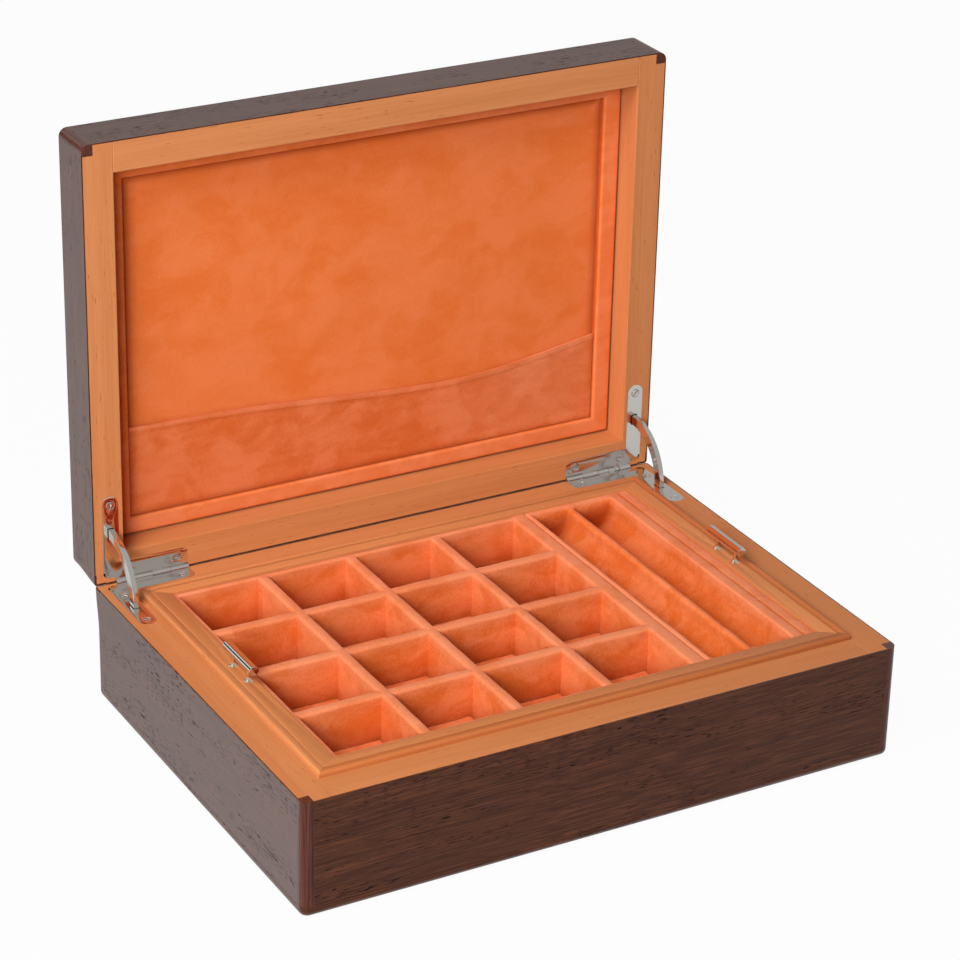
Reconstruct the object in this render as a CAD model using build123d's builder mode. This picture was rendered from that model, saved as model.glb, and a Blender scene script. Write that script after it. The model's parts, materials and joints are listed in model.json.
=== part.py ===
from build123d import *
import os

# Cufflink display box, lid open at ninety degrees.
# Millimetres, +Z up, +X to the right, +Y to the back, origin at the centre of the underside.

os.makedirs("parts", exist_ok=True)

# ---- driving dimensions: case -------------------------------------------------------------
case_width = 300.0          # outside, left to right
case_depth = 216.0          # outside, front to back
rim_height = 57.2           # table to the base's rim
lid_height = 26.0           # lid's rim to its top face
baize_thickness = 0.8
base_wall = 15.4            # width of the base's cedar rim
lid_wall = 15.0             # width of the lid's cedar rim
veneer = 0.6                # dark veneer on the sides
top_veneer = 1.2            # sawn veneer on the lid
top_arris = 0.9             # chamfer round the lid's top
strip_size = 5.5            # square corner strips let into the vertical corners
corner_radius = 4.0         # their rounded outside
edging_size = 5.0           # solid edging round the base's bottom
edging_radius = 3.0
bottom_panel_thickness = 6.0
lid_panel_thickness = 5.0
floor_pad_thickness = 2.0
baize_inset = 5.0

# ---- driving dimensions: liner with its raised lip ----------------------------------------
liner_thickness = 3.4
lip_height = 2.8            # above the rim
lip_radius = 1.5            # rounded outer arris
cleat_width = 3.6
cleat_height = 6.0
cleat_length = 120.0

# ---- driving dimensions: lift-out tray ----------------------------------------------------
tray_gap = 0.4              # all round, to the liner
tray_rise = 2.3             # tray's top above the rim
tray_height = 28.0
tray_end_rail = 8.0         # left and right rails, which carry the handles
tray_long_rail = 6.0        # front and back rails
tray_arris = 0.7
tray_board_thickness = 3.0

cell_columns = 4
cell_rows = 4
divider_thickness = 5.5
divider_round = 2.3         # soft rounded top of each divider
end_liner_thickness = 2.8   # suede-covered liner at the grid's left end
side_liner_thickness = 2.75  # the same along the front and the back
seam_wall_thickness = 7.8   # double wall between the grid and the troughs
insert_drop = 1.0           # dividers' top below the tray's top
seam_gap = 0.2
liner_joint = 0.1           # between the liners where they meet
pad_thickness = 3.5
pad_gap = 0.35
pad_bevel = 1.2             # softened upper edge

trough_insert_width = 57.9
trough_width = 19.7
trough_depth = 15.0
trough_border = 2.6         # from the seam to the first trough
trough_end_wall = 3.0
ridge_width = 4.4
ridge_drop = 1.3
trough_arris = 1.0

# ---- driving dimensions: bar handles ------------------------------------------------------
bar_radius = 2.25
bar_length = 27.6
bar_arris = 0.25
bar_height = 10.0           # bar's axis above the rim
post_distance = 15.4        # between the two posts of a handle
post_radius = 0.85
post_foot_radius = 2.25
post_foot_height = 2.2
post_socket_depth = 6.0     # how far each post goes into its rail
post_socket_gap = 0.02

# ---- driving dimensions: lid interior -----------------------------------------------------
ring_depth = 13.4           # lid's rim to the face of the suede frame
ring_gap = 0.5
ring_width_ends = 9.5
ring_width_long = 8.5
ring_round = 1.6
back_pad_thickness = 3.0
pocket_thickness = 1.0
pocket_gap = 0.3
pocket_side_gap = 0.4
pocket_end_reach = 69.5     # pin to the ends of the pocket's sagging edge
pocket_left_reach = 67.6
pocket_low_reach = 61.2
pocket_right_reach = 61.0
pocket_far_share = 0.496    # how far out the edge's points lie, of half the recess
pocket_near_share = 0.144

# ---- driving dimensions: quadrant hinges --------------------------------------------------
rim_gap = 0.3               # between the two rims when the box is shut
knuckle_radius = 1.6
knuckle_length = 9.2
knuckle_gap = 0.12
knuckle_relief = 0.3
knuckle_margin = 10.4       # outside of the case to the outermost knuckle
knuckle_count = 4
pin_radius = 0.75
pin_clearance = 0.05
leaf_thickness = 2.0
leg_width = 8.3             # side leg, along the end wall
leg_margin = 4.5            # outside of the case to the side leg
leg_reach = 44.3            # pin to the rounded tip
back_leg_reach = 10.2       # pin to the back leg's front edge
leaf_setback = 2.6          # pin to the edge beside the knuckle
leaf_corner_radius = 3.0
leaf_inner_radius = 2.5
hole_tip_reach = 39.8       # pin to the countersunk hole near the tip
hole_corner_reach = 13.3
hole_back_reach = 5.9
hole_inner_margin = 5.4     # innermost knuckle's end to the hole near it
hole_mouth_radius = 2.15
hole_throat_radius = 1.0
link_radius = 25.5          # pin to the middle of the curved stay
link_width = 5.0
link_thickness = 2.6
link_head_width = 6.4
link_head_start = 5.8       # degrees past the rim
link_head_end = 9.5
slot_clearance = 0.3
mortise_width = 6.8
mortise_thickness = 3.6
mortise_angle = 56.0
open_angle = 90.0

# ---- positions worked out from the dimensions ---------------------------------------------
half_width = case_width / 2
half_depth = case_depth / 2
opening_x = half_width - base_wall
opening_y = half_depth - base_wall
panel_top = baize_thickness + bottom_panel_thickness
edging_top = baize_thickness + edging_size
liner_x = opening_x - liner_thickness
liner_y = opening_y - liner_thickness
tray_x = liner_x - tray_gap
tray_y = liner_y - tray_gap
tray_top = rim_height + tray_rise
tray_bottom = tray_top - tray_height
insert_x = tray_x - tray_end_rail
insert_y = tray_y - tray_long_rail
board_top = tray_bottom + tray_board_thickness
insert_top = tray_top - insert_drop
trough_left = insert_x - trough_insert_width
seam_x = trough_left - seam_gap
cells_left = -insert_x + end_liner_thickness
cells_right = seam_x - seam_wall_thickness
cells_back = insert_y - side_liner_thickness
cell_step_x = (cells_right - cells_left + divider_thickness) / cell_columns
cell_step_y = (2 * cells_back + divider_thickness) / cell_rows
cell_width = cell_step_x - divider_thickness
cell_length = cell_step_y - divider_thickness
handle_x = tray_x - tray_end_rail / 2
bar_z = rim_height + bar_height

pin_y = half_depth
pin_z = rim_height + rim_gap / 2
lid_rim = rim_gap / 2                        # closed height above the pin
lid_top = lid_rim + lid_height
lid_veneer_base = lid_top - top_veneer
lid_panel_base = lid_veneer_base - lid_panel_thickness
lid_opening_x = half_width - lid_wall
lid_opening_y = half_depth - lid_wall
ring_x = lid_opening_x - ring_gap
ring_y = lid_opening_y - ring_gap
recess_x = ring_x - ring_width_ends
recess_y = ring_y - ring_width_long
ring_face = lid_rim + ring_depth
pad_face = lid_panel_base - back_pad_thickness
pocket_back = pad_face - pocket_gap
knuckle_outer_end = half_width - knuckle_margin
knuckle_inner_end = knuckle_outer_end - knuckle_count * knuckle_length
leg_centre = half_width - leg_margin - leg_width / 2
hole_back_inner = knuckle_inner_end + hole_inner_margin

sides = {"left": -1, "right": 1}
ends = {"front": -1, "back": 1}

# The lid's pieces are drawn as they lie when the box is shut, on a plane that the
# open lid carries with it: local x is across, local y is towards the hinge.
lid_frame = Plane(origin=(0, pin_y, pin_z + half_depth), x_dir=(1, 0, 0), z_dir=(0, 1, 0))

# Each leaf is drawn on the rim that it is let into: local y runs away from the pin
# and local z goes into the wood, in both the base and the open lid.
base_leaf_plane = Plane(origin=(0, pin_y, rim_height), x_dir=(1, 0, 0), z_dir=(0, 0, -1))
lid_leaf_plane = Plane(origin=(0, pin_y + lid_rim, pin_z), x_dir=(-1, 0, 0), z_dir=(0, 1, 0))
pin_axis_down = Axis((0, pin_y, pin_z), (1, 0, 0))
pin_axis_up = Axis((0, pin_y, pin_z), (-1, 0, 0))


def finish(piece, name):
    """Label a finished piece and write its file."""
    piece.part.label = name
    export_step(piece.part, f"parts/{name}.step")


def block(plane, x_range, y_range, height, mode=Mode.ADD):
    """Add or cut a straight block whose plan is given by its limits on the plane."""
    with BuildSketch(plane) as plan:
        with Locations(((x_range[0] + x_range[1]) / 2, (y_range[0] + y_range[1]) / 2)):
            Rectangle(x_range[1] - x_range[0], y_range[1] - y_range[0])
    extrude(plan.sketch, amount=height, mode=mode)


def square_notches(plane, size, height, mode=Mode.SUBTRACT):
    """Cut the four vertical corners of the case, where the strips go."""
    with BuildSketch(plane) as plan:
        with GridLocations(case_width - size, case_depth - size, 2, 2):
            Rectangle(size, size)
    extrude(plan.sketch, amount=height, mode=mode)


# ---- hinge geometry that the leaves and the wood share ------------------------------------
def leaf_outline(side):
    """Sketch the L-shaped leaf, with its side leg away from the middle."""
    inner = side * knuckle_inner_end
    outer = side * (leg_centre + leg_width / 2)
    barrel = side * knuckle_outer_end
    tip = leg_reach - leg_width / 2
    with Locations((side * leg_centre, (leaf_setback + tip) / 2)):
        Rectangle(leg_width, tip - leaf_setback)
    with Locations((side * leg_centre, tip)):
        Circle(leg_width / 2)
    with Locations(((inner + outer) / 2, (leaf_setback + back_leg_reach) / 2)):
        Rectangle(abs(outer - inner), back_leg_reach - leaf_setback)


def leaf_sketch(plane, side):
    """Draw a whole leaf with its rounded corners on its rim."""
    with BuildSketch(plane) as outline:
        leaf_outline(side)
        corners = outline.vertices()
        outer = corners.sort_by_distance((side * (leg_centre + leg_width / 2), leaf_setback))[0]
        fillet(outer, leaf_corner_radius)
        inner = outline.vertices().sort_by_distance((side * knuckle_inner_end, back_leg_reach))[0]
        fillet(inner, leaf_inner_radius)
        span = knuckle_count * knuckle_length
        with Locations((side * (knuckle_inner_end + span / 2), leaf_setback / 2)):
            Rectangle(span, leaf_setback)
    return outline.sketch


def barrel_plane(side, start):
    """Plane square to the pin, at a distance from the middle of the case."""
    return Plane(origin=(side * start, pin_y, pin_z), x_dir=(0, 1, 0), z_dir=(side, 0, 0))


def barrel(side, start, length, radius, mode=Mode.ADD):
    """Add or cut a round barrel on the hinge pin's axis."""
    with BuildSketch(barrel_plane(side, start)) as section:
        Circle(radius)
    extrude(section.sketch, amount=length, mode=mode)


def countersinks(plane, side, corner_hole):
    """Cut the three countersunk screw holes through a leaf."""
    third = (side * (knuckle_outer_end - hole_back_reach), hole_back_reach)
    if corner_hole:
        third = (side * leg_centre, hole_corner_reach)
    for place in ((side * leg_centre, hole_tip_reach), (side * hole_back_inner, hole_back_reach), third):
        with BuildSketch(plane) as mouth:
            with Locations(place):
                Circle(hole_mouth_radius)
        with BuildSketch(plane.offset(leaf_thickness)) as throat:
            with Locations(place):
                Circle(hole_throat_radius)
        loft([mouth.sketch.face(), throat.sketch.face()], mode=Mode.SUBTRACT)


def leaf_recess(plane, side, case_side):
    """Cut the bed of a leaf and its barrel's groove out of the wood."""
    extrude(leaf_sketch(plane, side), amount=leaf_thickness, mode=Mode.SUBTRACT)
    barrel(case_side, knuckle_inner_end, knuckle_count * knuckle_length, knuckle_radius + knuckle_relief,
           Mode.SUBTRACT)


def stay_mortise(side, in_lid):
    """Cut the curved pocket that swallows the stay as the lid shuts."""
    if in_lid:
        start = Plane(origin=(0, pin_y, pin_z), x_dir=(1, 0, 0), z_dir=(0, -1, 0))
        axis = pin_axis_up
    else:
        start = Plane(origin=(0, pin_y, pin_z), x_dir=(1, 0, 0), z_dir=(0, 0, -1))
        axis = pin_axis_down
    with BuildSketch(start) as section:
        with Locations((side * leg_centre, link_radius)):
            Rectangle(mortise_thickness, mortise_width)
    revolve(section.sketch, axis=axis, revolution_arc=mortise_angle, mode=Mode.SUBTRACT)


# ---- base: end walls, long walls, veneers -------------------------------------------------
floor_plane = Plane.XY.offset(baize_thickness)
for name, side in sides.items():
    outer = side * (half_width - veneer)
    inner = side * opening_x
    with BuildPart() as base_end_wall:
        block(floor_plane, sorted((outer, inner)), (veneer - half_depth, half_depth - veneer),
              rim_height - baize_thickness)
        square_notches(floor_plane, strip_size, rim_height)
        block(floor_plane, sorted((side * half_width, side * (half_width - edging_size))),
              (-half_depth, half_depth), edging_size, Mode.SUBTRACT)
        for end in ends.values():
            block(floor_plane, (-half_width, half_width),
                  sorted((end * half_depth, end * (half_depth - edging_size))), edging_size, Mode.SUBTRACT)
        leaf_recess(base_leaf_plane, side, side)
        stay_mortise(side, in_lid=False)
    finish(base_end_wall, f"base_{name}_wall")

    with BuildPart() as base_end_veneer:
        block(Plane.XY.offset(edging_top), sorted((side * half_width, outer)),
              (strip_size - half_depth, half_depth - strip_size), rim_height - edging_top)
    finish(base_end_veneer, f"base_{name}_veneer")

for name, end in ends.items():
    outer = end * (half_depth - veneer)
    inner = end * opening_y
    with BuildPart() as base_long_wall:
        block(floor_plane, (-opening_x, opening_x), sorted((outer, inner)), rim_height - baize_thickness)
        block(floor_plane, (-half_width, half_width),
              sorted((end * half_depth, end * (half_depth - edging_size))), edging_size, Mode.SUBTRACT)
        if name == "back":
            for side in sides.values():
                leaf_recess(base_leaf_plane, side, side)
    finish(base_long_wall, f"base_{name}_wall")

    with BuildPart() as base_long_veneer:
        block(Plane.XY.offset(edging_top), (strip_size - half_width, half_width - strip_size),
              sorted((end * half_depth, outer)), rim_height - edging_top)
        if name == "back":
            for side in sides.values():
                leaf_recess(base_leaf_plane, side, side)
    finish(base_long_veneer, f"base_{name}_veneer")

# ---- base: corner strips, bottom edging, bottom panel, baize, floor pad -------------------
for end_name, end in ends.items():
    for side_name, side in sides.items():
        x_range = sorted((side * half_width, side * (half_width - strip_size)))
        y_range = sorted((end * half_depth, end * (half_depth - strip_size)))
        corner = (side * half_width, end * half_depth, edging_top)

        with BuildPart() as base_strip:
            block(Plane.XY.offset(edging_top), x_range, y_range, rim_height - edging_top)
            fillet(base_strip.edges().filter_by(Axis.Z).sort_by_distance(corner)[0], corner_radius)
            if end_name == "back":
                leaf_recess(base_leaf_plane, side, side)
        finish(base_strip, f"base_corner_strip_{end_name}_{side_name}")

with BuildPart() as base_bottom_edging:
    with BuildSketch(floor_plane):
        RectangleRounded(case_width, case_depth, corner_radius)
    extrude(amount=edging_size)
    fillet(base_bottom_edging.faces().sort_by(Axis.Z)[0].edges(), edging_radius)
    block(floor_plane, (edging_size - half_width, half_width - edging_size),
          (edging_size - half_depth, half_depth - edging_size), edging_size, Mode.SUBTRACT)
finish(base_bottom_edging, "base_bottom_edging")

with BuildPart() as base_bottom_panel:
    block(floor_plane, (-opening_x, opening_x), (-opening_y, opening_y), bottom_panel_thickness)
finish(base_bottom_panel, "base_bottom_panel")

with BuildPart() as base_underside_baize:
    block(Plane.XY, (baize_inset - half_width, half_width - baize_inset),
          (baize_inset - half_depth, half_depth - baize_inset), baize_thickness)
finish(base_underside_baize, "base_underside_baize")

with BuildPart() as base_floor_pad:
    block(Plane.XY.offset(panel_top), (tray_gap - liner_x, liner_x - tray_gap),
          (tray_gap - liner_y, liner_y - tray_gap), floor_pad_thickness)
    fillet(base_floor_pad.faces().sort_by(Axis.Z)[-1].edges(), floor_pad_thickness / 2)
finish(base_floor_pad, "base_floor_pad")


# ---- base: mitred liner with the lip that stands above the rim ----------------------------
def mitred_rail(plane, direction, outer_x, outer_y, width_x, width_y, height):
    """Extrude one side of a mitred frame: its plan is a trapezium."""
    inner_x = outer_x - width_x
    inner_y = outer_y - width_y
    plans = {
        "left": [(-outer_x, -outer_y), (-inner_x, -inner_y), (-inner_x, inner_y), (-outer_x, outer_y)],
        "right": [(outer_x, -outer_y), (inner_x, -inner_y), (inner_x, inner_y), (outer_x, outer_y)],
        "front": [(-outer_x, -outer_y), (outer_x, -outer_y), (inner_x, -inner_y), (-inner_x, -inner_y)],
        "back": [(-outer_x, outer_y), (outer_x, outer_y), (inner_x, inner_y), (-inner_x, inner_y)],
    }
    with BuildSketch(plane) as plan:
        Polygon(*plans[direction], align=None)
    extrude(plan.sketch, amount=height)


outward = {"left": -Axis.X, "right": Axis.X, "front": -Axis.Y, "back": Axis.Y}
for name, way in outward.items():
    with BuildPart() as liner:
        mitred_rail(Plane.XY.offset(panel_top), name, opening_x, opening_y, liner_thickness,
                    liner_thickness, rim_height + lip_height - panel_top)
        fillet(liner.faces().sort_by(Axis.Z)[-1].edges().sort_by(way)[-1], lip_radius)
    finish(liner, f"base_liner_{name}")

with BuildPart() as tray_rest_cleats:
    for side in sides.values():
        block(Plane.XY.offset(tray_bottom - cleat_height),
              sorted((side * liner_x, side * (liner_x - cleat_width))),
              (-cleat_length / 2, cleat_length / 2), cleat_height)
finish(tray_rest_cleats, "tray_rest_cleats")

# ---- tray: mitred frame and bottom board --------------------------------------------------
for name, way in outward.items():
    with BuildPart() as tray_rail:
        mitred_rail(Plane.XY.offset(tray_bottom), name, tray_x, tray_y, tray_end_rail,
                    tray_long_rail, tray_height)
        fillet(tray_rail.faces().sort_by(Axis.Z)[-1].edges().sort_by(way)[-1], tray_arris)
        if name in sides:
            with BuildSketch(Plane.XY.offset(tray_top)):
                with Locations((sides[name] * handle_x, 0)):
                    with GridLocations(0, post_distance, 1, 2):
                        Circle(post_radius + post_socket_gap)
            extrude(amount=-post_socket_depth, mode=Mode.SUBTRACT)
    finish(tray_rail, f"tray_{name}_rail")

with BuildPart() as tray_board:
    block(Plane.XY.offset(tray_bottom), (-insert_x, insert_x), (-insert_y, insert_y), tray_board_thickness)
finish(tray_board, "tray_bottom_board")

# ---- tray: sixteen suede-covered cells ----------------------------------------------------
insert_plane = Plane.XY.offset(board_top)
insert_height = insert_top - board_top

with BuildPart() as cell_liners:
    block(insert_plane, (-insert_x, cells_left), (-insert_y, insert_y), insert_height)
    for end in ends.values():
        block(insert_plane, (cells_left + liner_joint, cells_right - liner_joint),
              sorted((end * insert_y, end * cells_back)), insert_height)
    block(insert_plane, (cells_right, seam_x), (-insert_y, insert_y), insert_height)
    around_cells = cell_liners.edges().group_by(Axis.Z)[-1]
    around_cells = around_cells.filter_by_position(Axis.X, cells_left - pad_gap, cells_right + pad_gap)
    around_cells = around_cells.filter_by_position(Axis.Y, -cells_back - pad_gap, cells_back + pad_gap)
    fillet(around_cells, divider_round / 2)
finish(cell_liners, "cell_outer_liners")

with BuildPart() as cell_long_dividers:
    for column in range(1, cell_columns):
        middle = cells_left + column * cell_step_x - divider_thickness / 2
        block(insert_plane, (middle - divider_thickness / 2, middle + divider_thickness / 2),
              (-cells_back, cells_back), insert_height)
    ridges = cell_long_dividers.edges().filter_by(Axis.Y).group_by(Axis.Z)[-1]
    fillet(ridges, divider_round)
finish(cell_long_dividers, "cell_long_dividers")

with BuildPart() as cell_cross_dividers:
    for column in range(cell_columns):
        start = cells_left + column * cell_step_x
        for row in range(1, cell_rows):
            middle = -cells_back + row * cell_step_y - divider_thickness / 2
            block(insert_plane, (start, start + cell_width),
                  (middle - divider_thickness / 2, middle + divider_thickness / 2), insert_height)
    ridges = cell_cross_dividers.edges().filter_by(Axis.X).group_by(Axis.Z)[-1]
    fillet(ridges, divider_round)
finish(cell_cross_dividers, "cell_cross_dividers")

with BuildPart() as cell_floor_pads:
    with BuildSketch(insert_plane):
        with Locations(((cells_left + cells_right) / 2, 0)):
            with GridLocations(cell_step_x, cell_step_y, cell_columns, cell_rows):
                Rectangle(cell_width - 2 * pad_gap, cell_length - 2 * pad_gap)
    extrude(amount=pad_thickness)
    chamfer(cell_floor_pads.edges().group_by(Axis.Z)[-1], pad_bevel)
finish(cell_floor_pads, "cell_floor_pads")

# ---- tray: insert with two long troughs ---------------------------------------------------
first_trough = trough_left + trough_border + trough_width / 2
trough_step = trough_width + ridge_width
trough_radius = trough_width / 2
trough_half_length = insert_y - trough_end_wall

with BuildPart() as trough_insert:
    block(insert_plane, (trough_left, insert_x), (-insert_y, insert_y), insert_height)
    for index in range(2):
        middle = first_trough + index * trough_step
        floor_centre = insert_top - trough_depth + trough_radius
        with BuildSketch(Plane.XZ.offset(-trough_half_length)):
            with Locations((middle, (insert_top + floor_centre) / 2)):
                Rectangle(trough_width, insert_top - floor_centre)
            with Locations((middle, floor_centre)):
                Circle(trough_radius)
        extrude(amount=2 * trough_half_length, mode=Mode.SUBTRACT)
    ridge_x = first_trough + trough_step / 2
    block(Plane.XY.offset(insert_top - ridge_drop), (ridge_x - ridge_width / 2, ridge_x + ridge_width / 2),
          (-trough_half_length, trough_half_length), ridge_drop, Mode.SUBTRACT)
    ridge = trough_insert.faces().filter_by(Axis.Z).sort_by_distance((ridge_x, 0, insert_top - ridge_drop))[0]
    fillet(ridge.edges().filter_by(Axis.Y), trough_arris)
finish(trough_insert, "trough_insert")

# ---- tray: bar handles --------------------------------------------------------------------
with BuildPart() as tray_handle_bars:
    for side in sides.values():
        with BuildSketch(Plane(origin=(side * handle_x, bar_length / 2, bar_z), z_dir=(0, -1, 0))):
            Circle(bar_radius)
        extrude(amount=bar_length)
    chamfer(tray_handle_bars.edges().filter_by(GeomType.CIRCLE), bar_arris)
finish(tray_handle_bars, "tray_handle_bars")

with BuildPart() as tray_handle_posts:
    for side in sides.values():
        for end in ends.values():
            x = side * handle_x
            y = end * post_distance / 2
            with BuildSketch(Plane(origin=(x, y, 0), x_dir=(1, 0, 0), z_dir=(0, -1, 0))):
                Polygon((0, tray_top - post_socket_depth), (post_radius, tray_top - post_socket_depth),
                        (post_radius, tray_top), (post_foot_radius, tray_top),
                        (post_radius, tray_top + post_foot_height), (post_radius, bar_z), (0, bar_z),
                        align=None)
            revolve(axis=Axis((x, y, 0), (0, 0, 1)))
        with BuildSketch(Plane(origin=(side * handle_x, bar_length / 2, bar_z), z_dir=(0, -1, 0))):
            Circle(bar_radius)
        extrude(amount=bar_length, mode=Mode.SUBTRACT)
finish(tray_handle_posts, "tray_handle_posts")

# ---- lid: walls, veneers, corner strips ---------------------------------------------------
rim_plane = lid_frame.offset(lid_rim)
wall_height = lid_veneer_base - lid_rim
for name, side in sides.items():
    outer = side * (half_width - veneer)
    with BuildPart() as lid_end_wall:
        block(rim_plane, sorted((outer, side * lid_opening_x)), (veneer - half_depth, half_depth - veneer),
              wall_height)
        square_notches(rim_plane, strip_size, wall_height)
        leaf_recess(lid_leaf_plane, -side, side)
        stay_mortise(side, in_lid=True)
    finish(lid_end_wall, f"lid_{name}_wall")

    with BuildPart() as lid_end_veneer:
        block(rim_plane, sorted((side * half_width, outer)),
              (strip_size - half_depth, half_depth - strip_size), wall_height)
    finish(lid_end_veneer, f"lid_{name}_veneer")

for name, end in ends.items():
    outer = end * (half_depth - veneer)
    with BuildPart() as lid_long_wall:
        block(rim_plane, (-lid_opening_x, lid_opening_x), sorted((outer, end * lid_opening_y)), wall_height)
        if name == "back":
            for side in sides.values():
                leaf_recess(lid_leaf_plane, -side, side)
    finish(lid_long_wall, f"lid_{name}_wall")

    with BuildPart() as lid_long_veneer:
        block(rim_plane, (strip_size - half_width, half_width - strip_size),
              sorted((end * half_depth, outer)), wall_height)
        if name == "back":
            for side in sides.values():
                leaf_recess(lid_leaf_plane, -side, side)
    finish(lid_long_veneer, f"lid_{name}_veneer")

    for side_name, side in sides.items():
        x_range = sorted((side * half_width, side * (half_width - strip_size)))
        y_range = sorted((end * half_depth, end * (half_depth - strip_size)))
        corner = lid_frame.from_local_coords((side * half_width, end * half_depth, wall_height / 2))

        with BuildPart() as lid_strip:
            block(rim_plane, x_range, y_range, wall_height)
            fillet(lid_strip.edges().filter_by(Axis.Y).sort_by_distance(corner)[0], corner_radius)
            if name == "back":
                leaf_recess(lid_leaf_plane, -side, side)
        finish(lid_strip, f"lid_corner_strip_{name}_{side_name}")

# ---- lid: top panel and veneer, suede frame, padded back, pocket --------------------------
with BuildPart() as lid_top_panel:
    block(lid_frame.offset(lid_panel_base), (-lid_opening_x, lid_opening_x), (-lid_opening_y, lid_opening_y),
          lid_panel_thickness)
finish(lid_top_panel, "lid_top_panel")

with BuildPart() as lid_top_veneer:
    with BuildSketch(lid_frame.offset(lid_veneer_base)):
        RectangleRounded(case_width, case_depth, corner_radius)
    extrude(amount=top_veneer)
    chamfer(lid_top_veneer.faces().sort_by(Axis.Y)[-1].edges(), top_arris)
finish(lid_top_veneer, "lid_top_veneer")

with BuildPart() as lid_suede_frame:
    block(lid_frame.offset(ring_face), (-ring_x, ring_x), (-ring_y, ring_y), lid_panel_base - ring_face)
    block(lid_frame.offset(ring_face), (-recess_x, recess_x), (-recess_y, recess_y),
          lid_panel_base - ring_face, Mode.SUBTRACT)
    fillet(lid_suede_frame.faces().sort_by(Axis.Y)[0].edges(), ring_round)
finish(lid_suede_frame, "lid_suede_frame")

with BuildPart() as lid_back_pad:
    block(lid_frame.offset(pad_face), (-recess_x, recess_x), (-recess_y, recess_y), back_pad_thickness)
finish(lid_back_pad, "lid_back_pad")

pocket_x = recess_x - pocket_side_gap
pocket_edge = [(-pocket_x, pocket_end_reach), (-pocket_far_share * recess_x, pocket_left_reach),
               (pocket_near_share * recess_x, pocket_low_reach),
               (pocket_far_share * recess_x, pocket_right_reach), (pocket_x, pocket_end_reach)]
pocket_foot = recess_y - pocket_side_gap

with BuildPart() as lid_pocket:
    with BuildSketch(lid_frame.offset(pocket_back - pocket_thickness)):
        with BuildLine():
            mouth = Spline(*[(x, half_depth - reach) for x, reach in pocket_edge])
            Polyline(mouth @ 1, (pocket_x, pocket_foot), (-pocket_x, pocket_foot), mouth @ 0)
        make_face()
    extrude(amount=pocket_thickness)
finish(lid_pocket, "lid_pocket")


# ---- quadrant hinges ----------------------------------------------------------------------
def hinge_leaf(plane, side, case_side, own_segments, corner_hole):
    """Build one leaf: plate, its own knuckles, screw holes and the stay's slot."""
    with BuildPart() as leaf:
        extrude(leaf_sketch(plane, side), amount=leaf_thickness)
        barrel(case_side, knuckle_inner_end - knuckle_gap, knuckle_count * knuckle_length + 2 * knuckle_gap,
               knuckle_radius + knuckle_relief, Mode.SUBTRACT)
        for index in own_segments:
            start = knuckle_inner_end + index * knuckle_length + knuckle_gap / 2
            length = knuckle_length - knuckle_gap
            with BuildSketch(plane):
                with Locations((side * (start + length / 2), leaf_setback / 2)):
                    Rectangle(length, leaf_setback)
            extrude(amount=knuckle_radius)
            barrel(case_side, start, length, knuckle_radius)
        barrel(case_side, knuckle_inner_end, knuckle_count * knuckle_length, pin_radius + pin_clearance,
               Mode.SUBTRACT)
        countersinks(plane, side, corner_hole)
        with BuildSketch(plane):
            with Locations((side * leg_centre, link_radius)):
                Rectangle(link_thickness + 2 * slot_clearance, link_width + 2 * slot_clearance)
        extrude(amount=leaf_thickness, mode=Mode.SUBTRACT)
    return leaf


for name, side in sides.items():
    finish(hinge_leaf(base_leaf_plane, side, side, (0, 2), True), f"base_hinge_leaf_{name}")
    finish(hinge_leaf(lid_leaf_plane, -side, side, (1, 3), False), f"lid_hinge_leaf_{name}")

    start = Plane(origin=(0, pin_y, pin_z), x_dir=(1, 0, 0), z_dir=(0, 0, -1))
    with BuildPart() as stay_link:
        with BuildSketch(start.rotated((link_head_end, 0, 0))):
            with Locations((side * leg_centre, link_radius)):
                Rectangle(link_thickness, link_width)
        revolve(axis=pin_axis_up, revolution_arc=open_angle + 2 * link_head_end)
        for angle in (link_head_end, -open_angle - link_head_start):
            with BuildSketch(start.rotated((angle, 0, 0))):
                with Locations((side * leg_centre, link_radius)):
                    Rectangle(link_thickness, link_head_width)
            revolve(axis=pin_axis_up, revolution_arc=link_head_end - link_head_start)
    finish(stay_link, f"stay_link_{name}")

with BuildPart() as hinge_pins:
    for side in sides.values():
        barrel(side, knuckle_inner_end, knuckle_count * knuckle_length, pin_radius)
finish(hinge_pins, "hinge_pins")
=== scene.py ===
"""Looks of the cufflink display box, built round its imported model.

Lengths in the classes are millimetres, in the frame of the model: +Z up, +X to the right
along the long side, +Y towards the hinges, with the origin at the centre of the underside.
"""

from __future__ import annotations

import json
import logging
import math
from dataclasses import dataclass, field
from enum import Enum
from typing import Callable, Iterable, Sequence

import bmesh
import bpy
from mathutils import Matrix, Vector, noise

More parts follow.
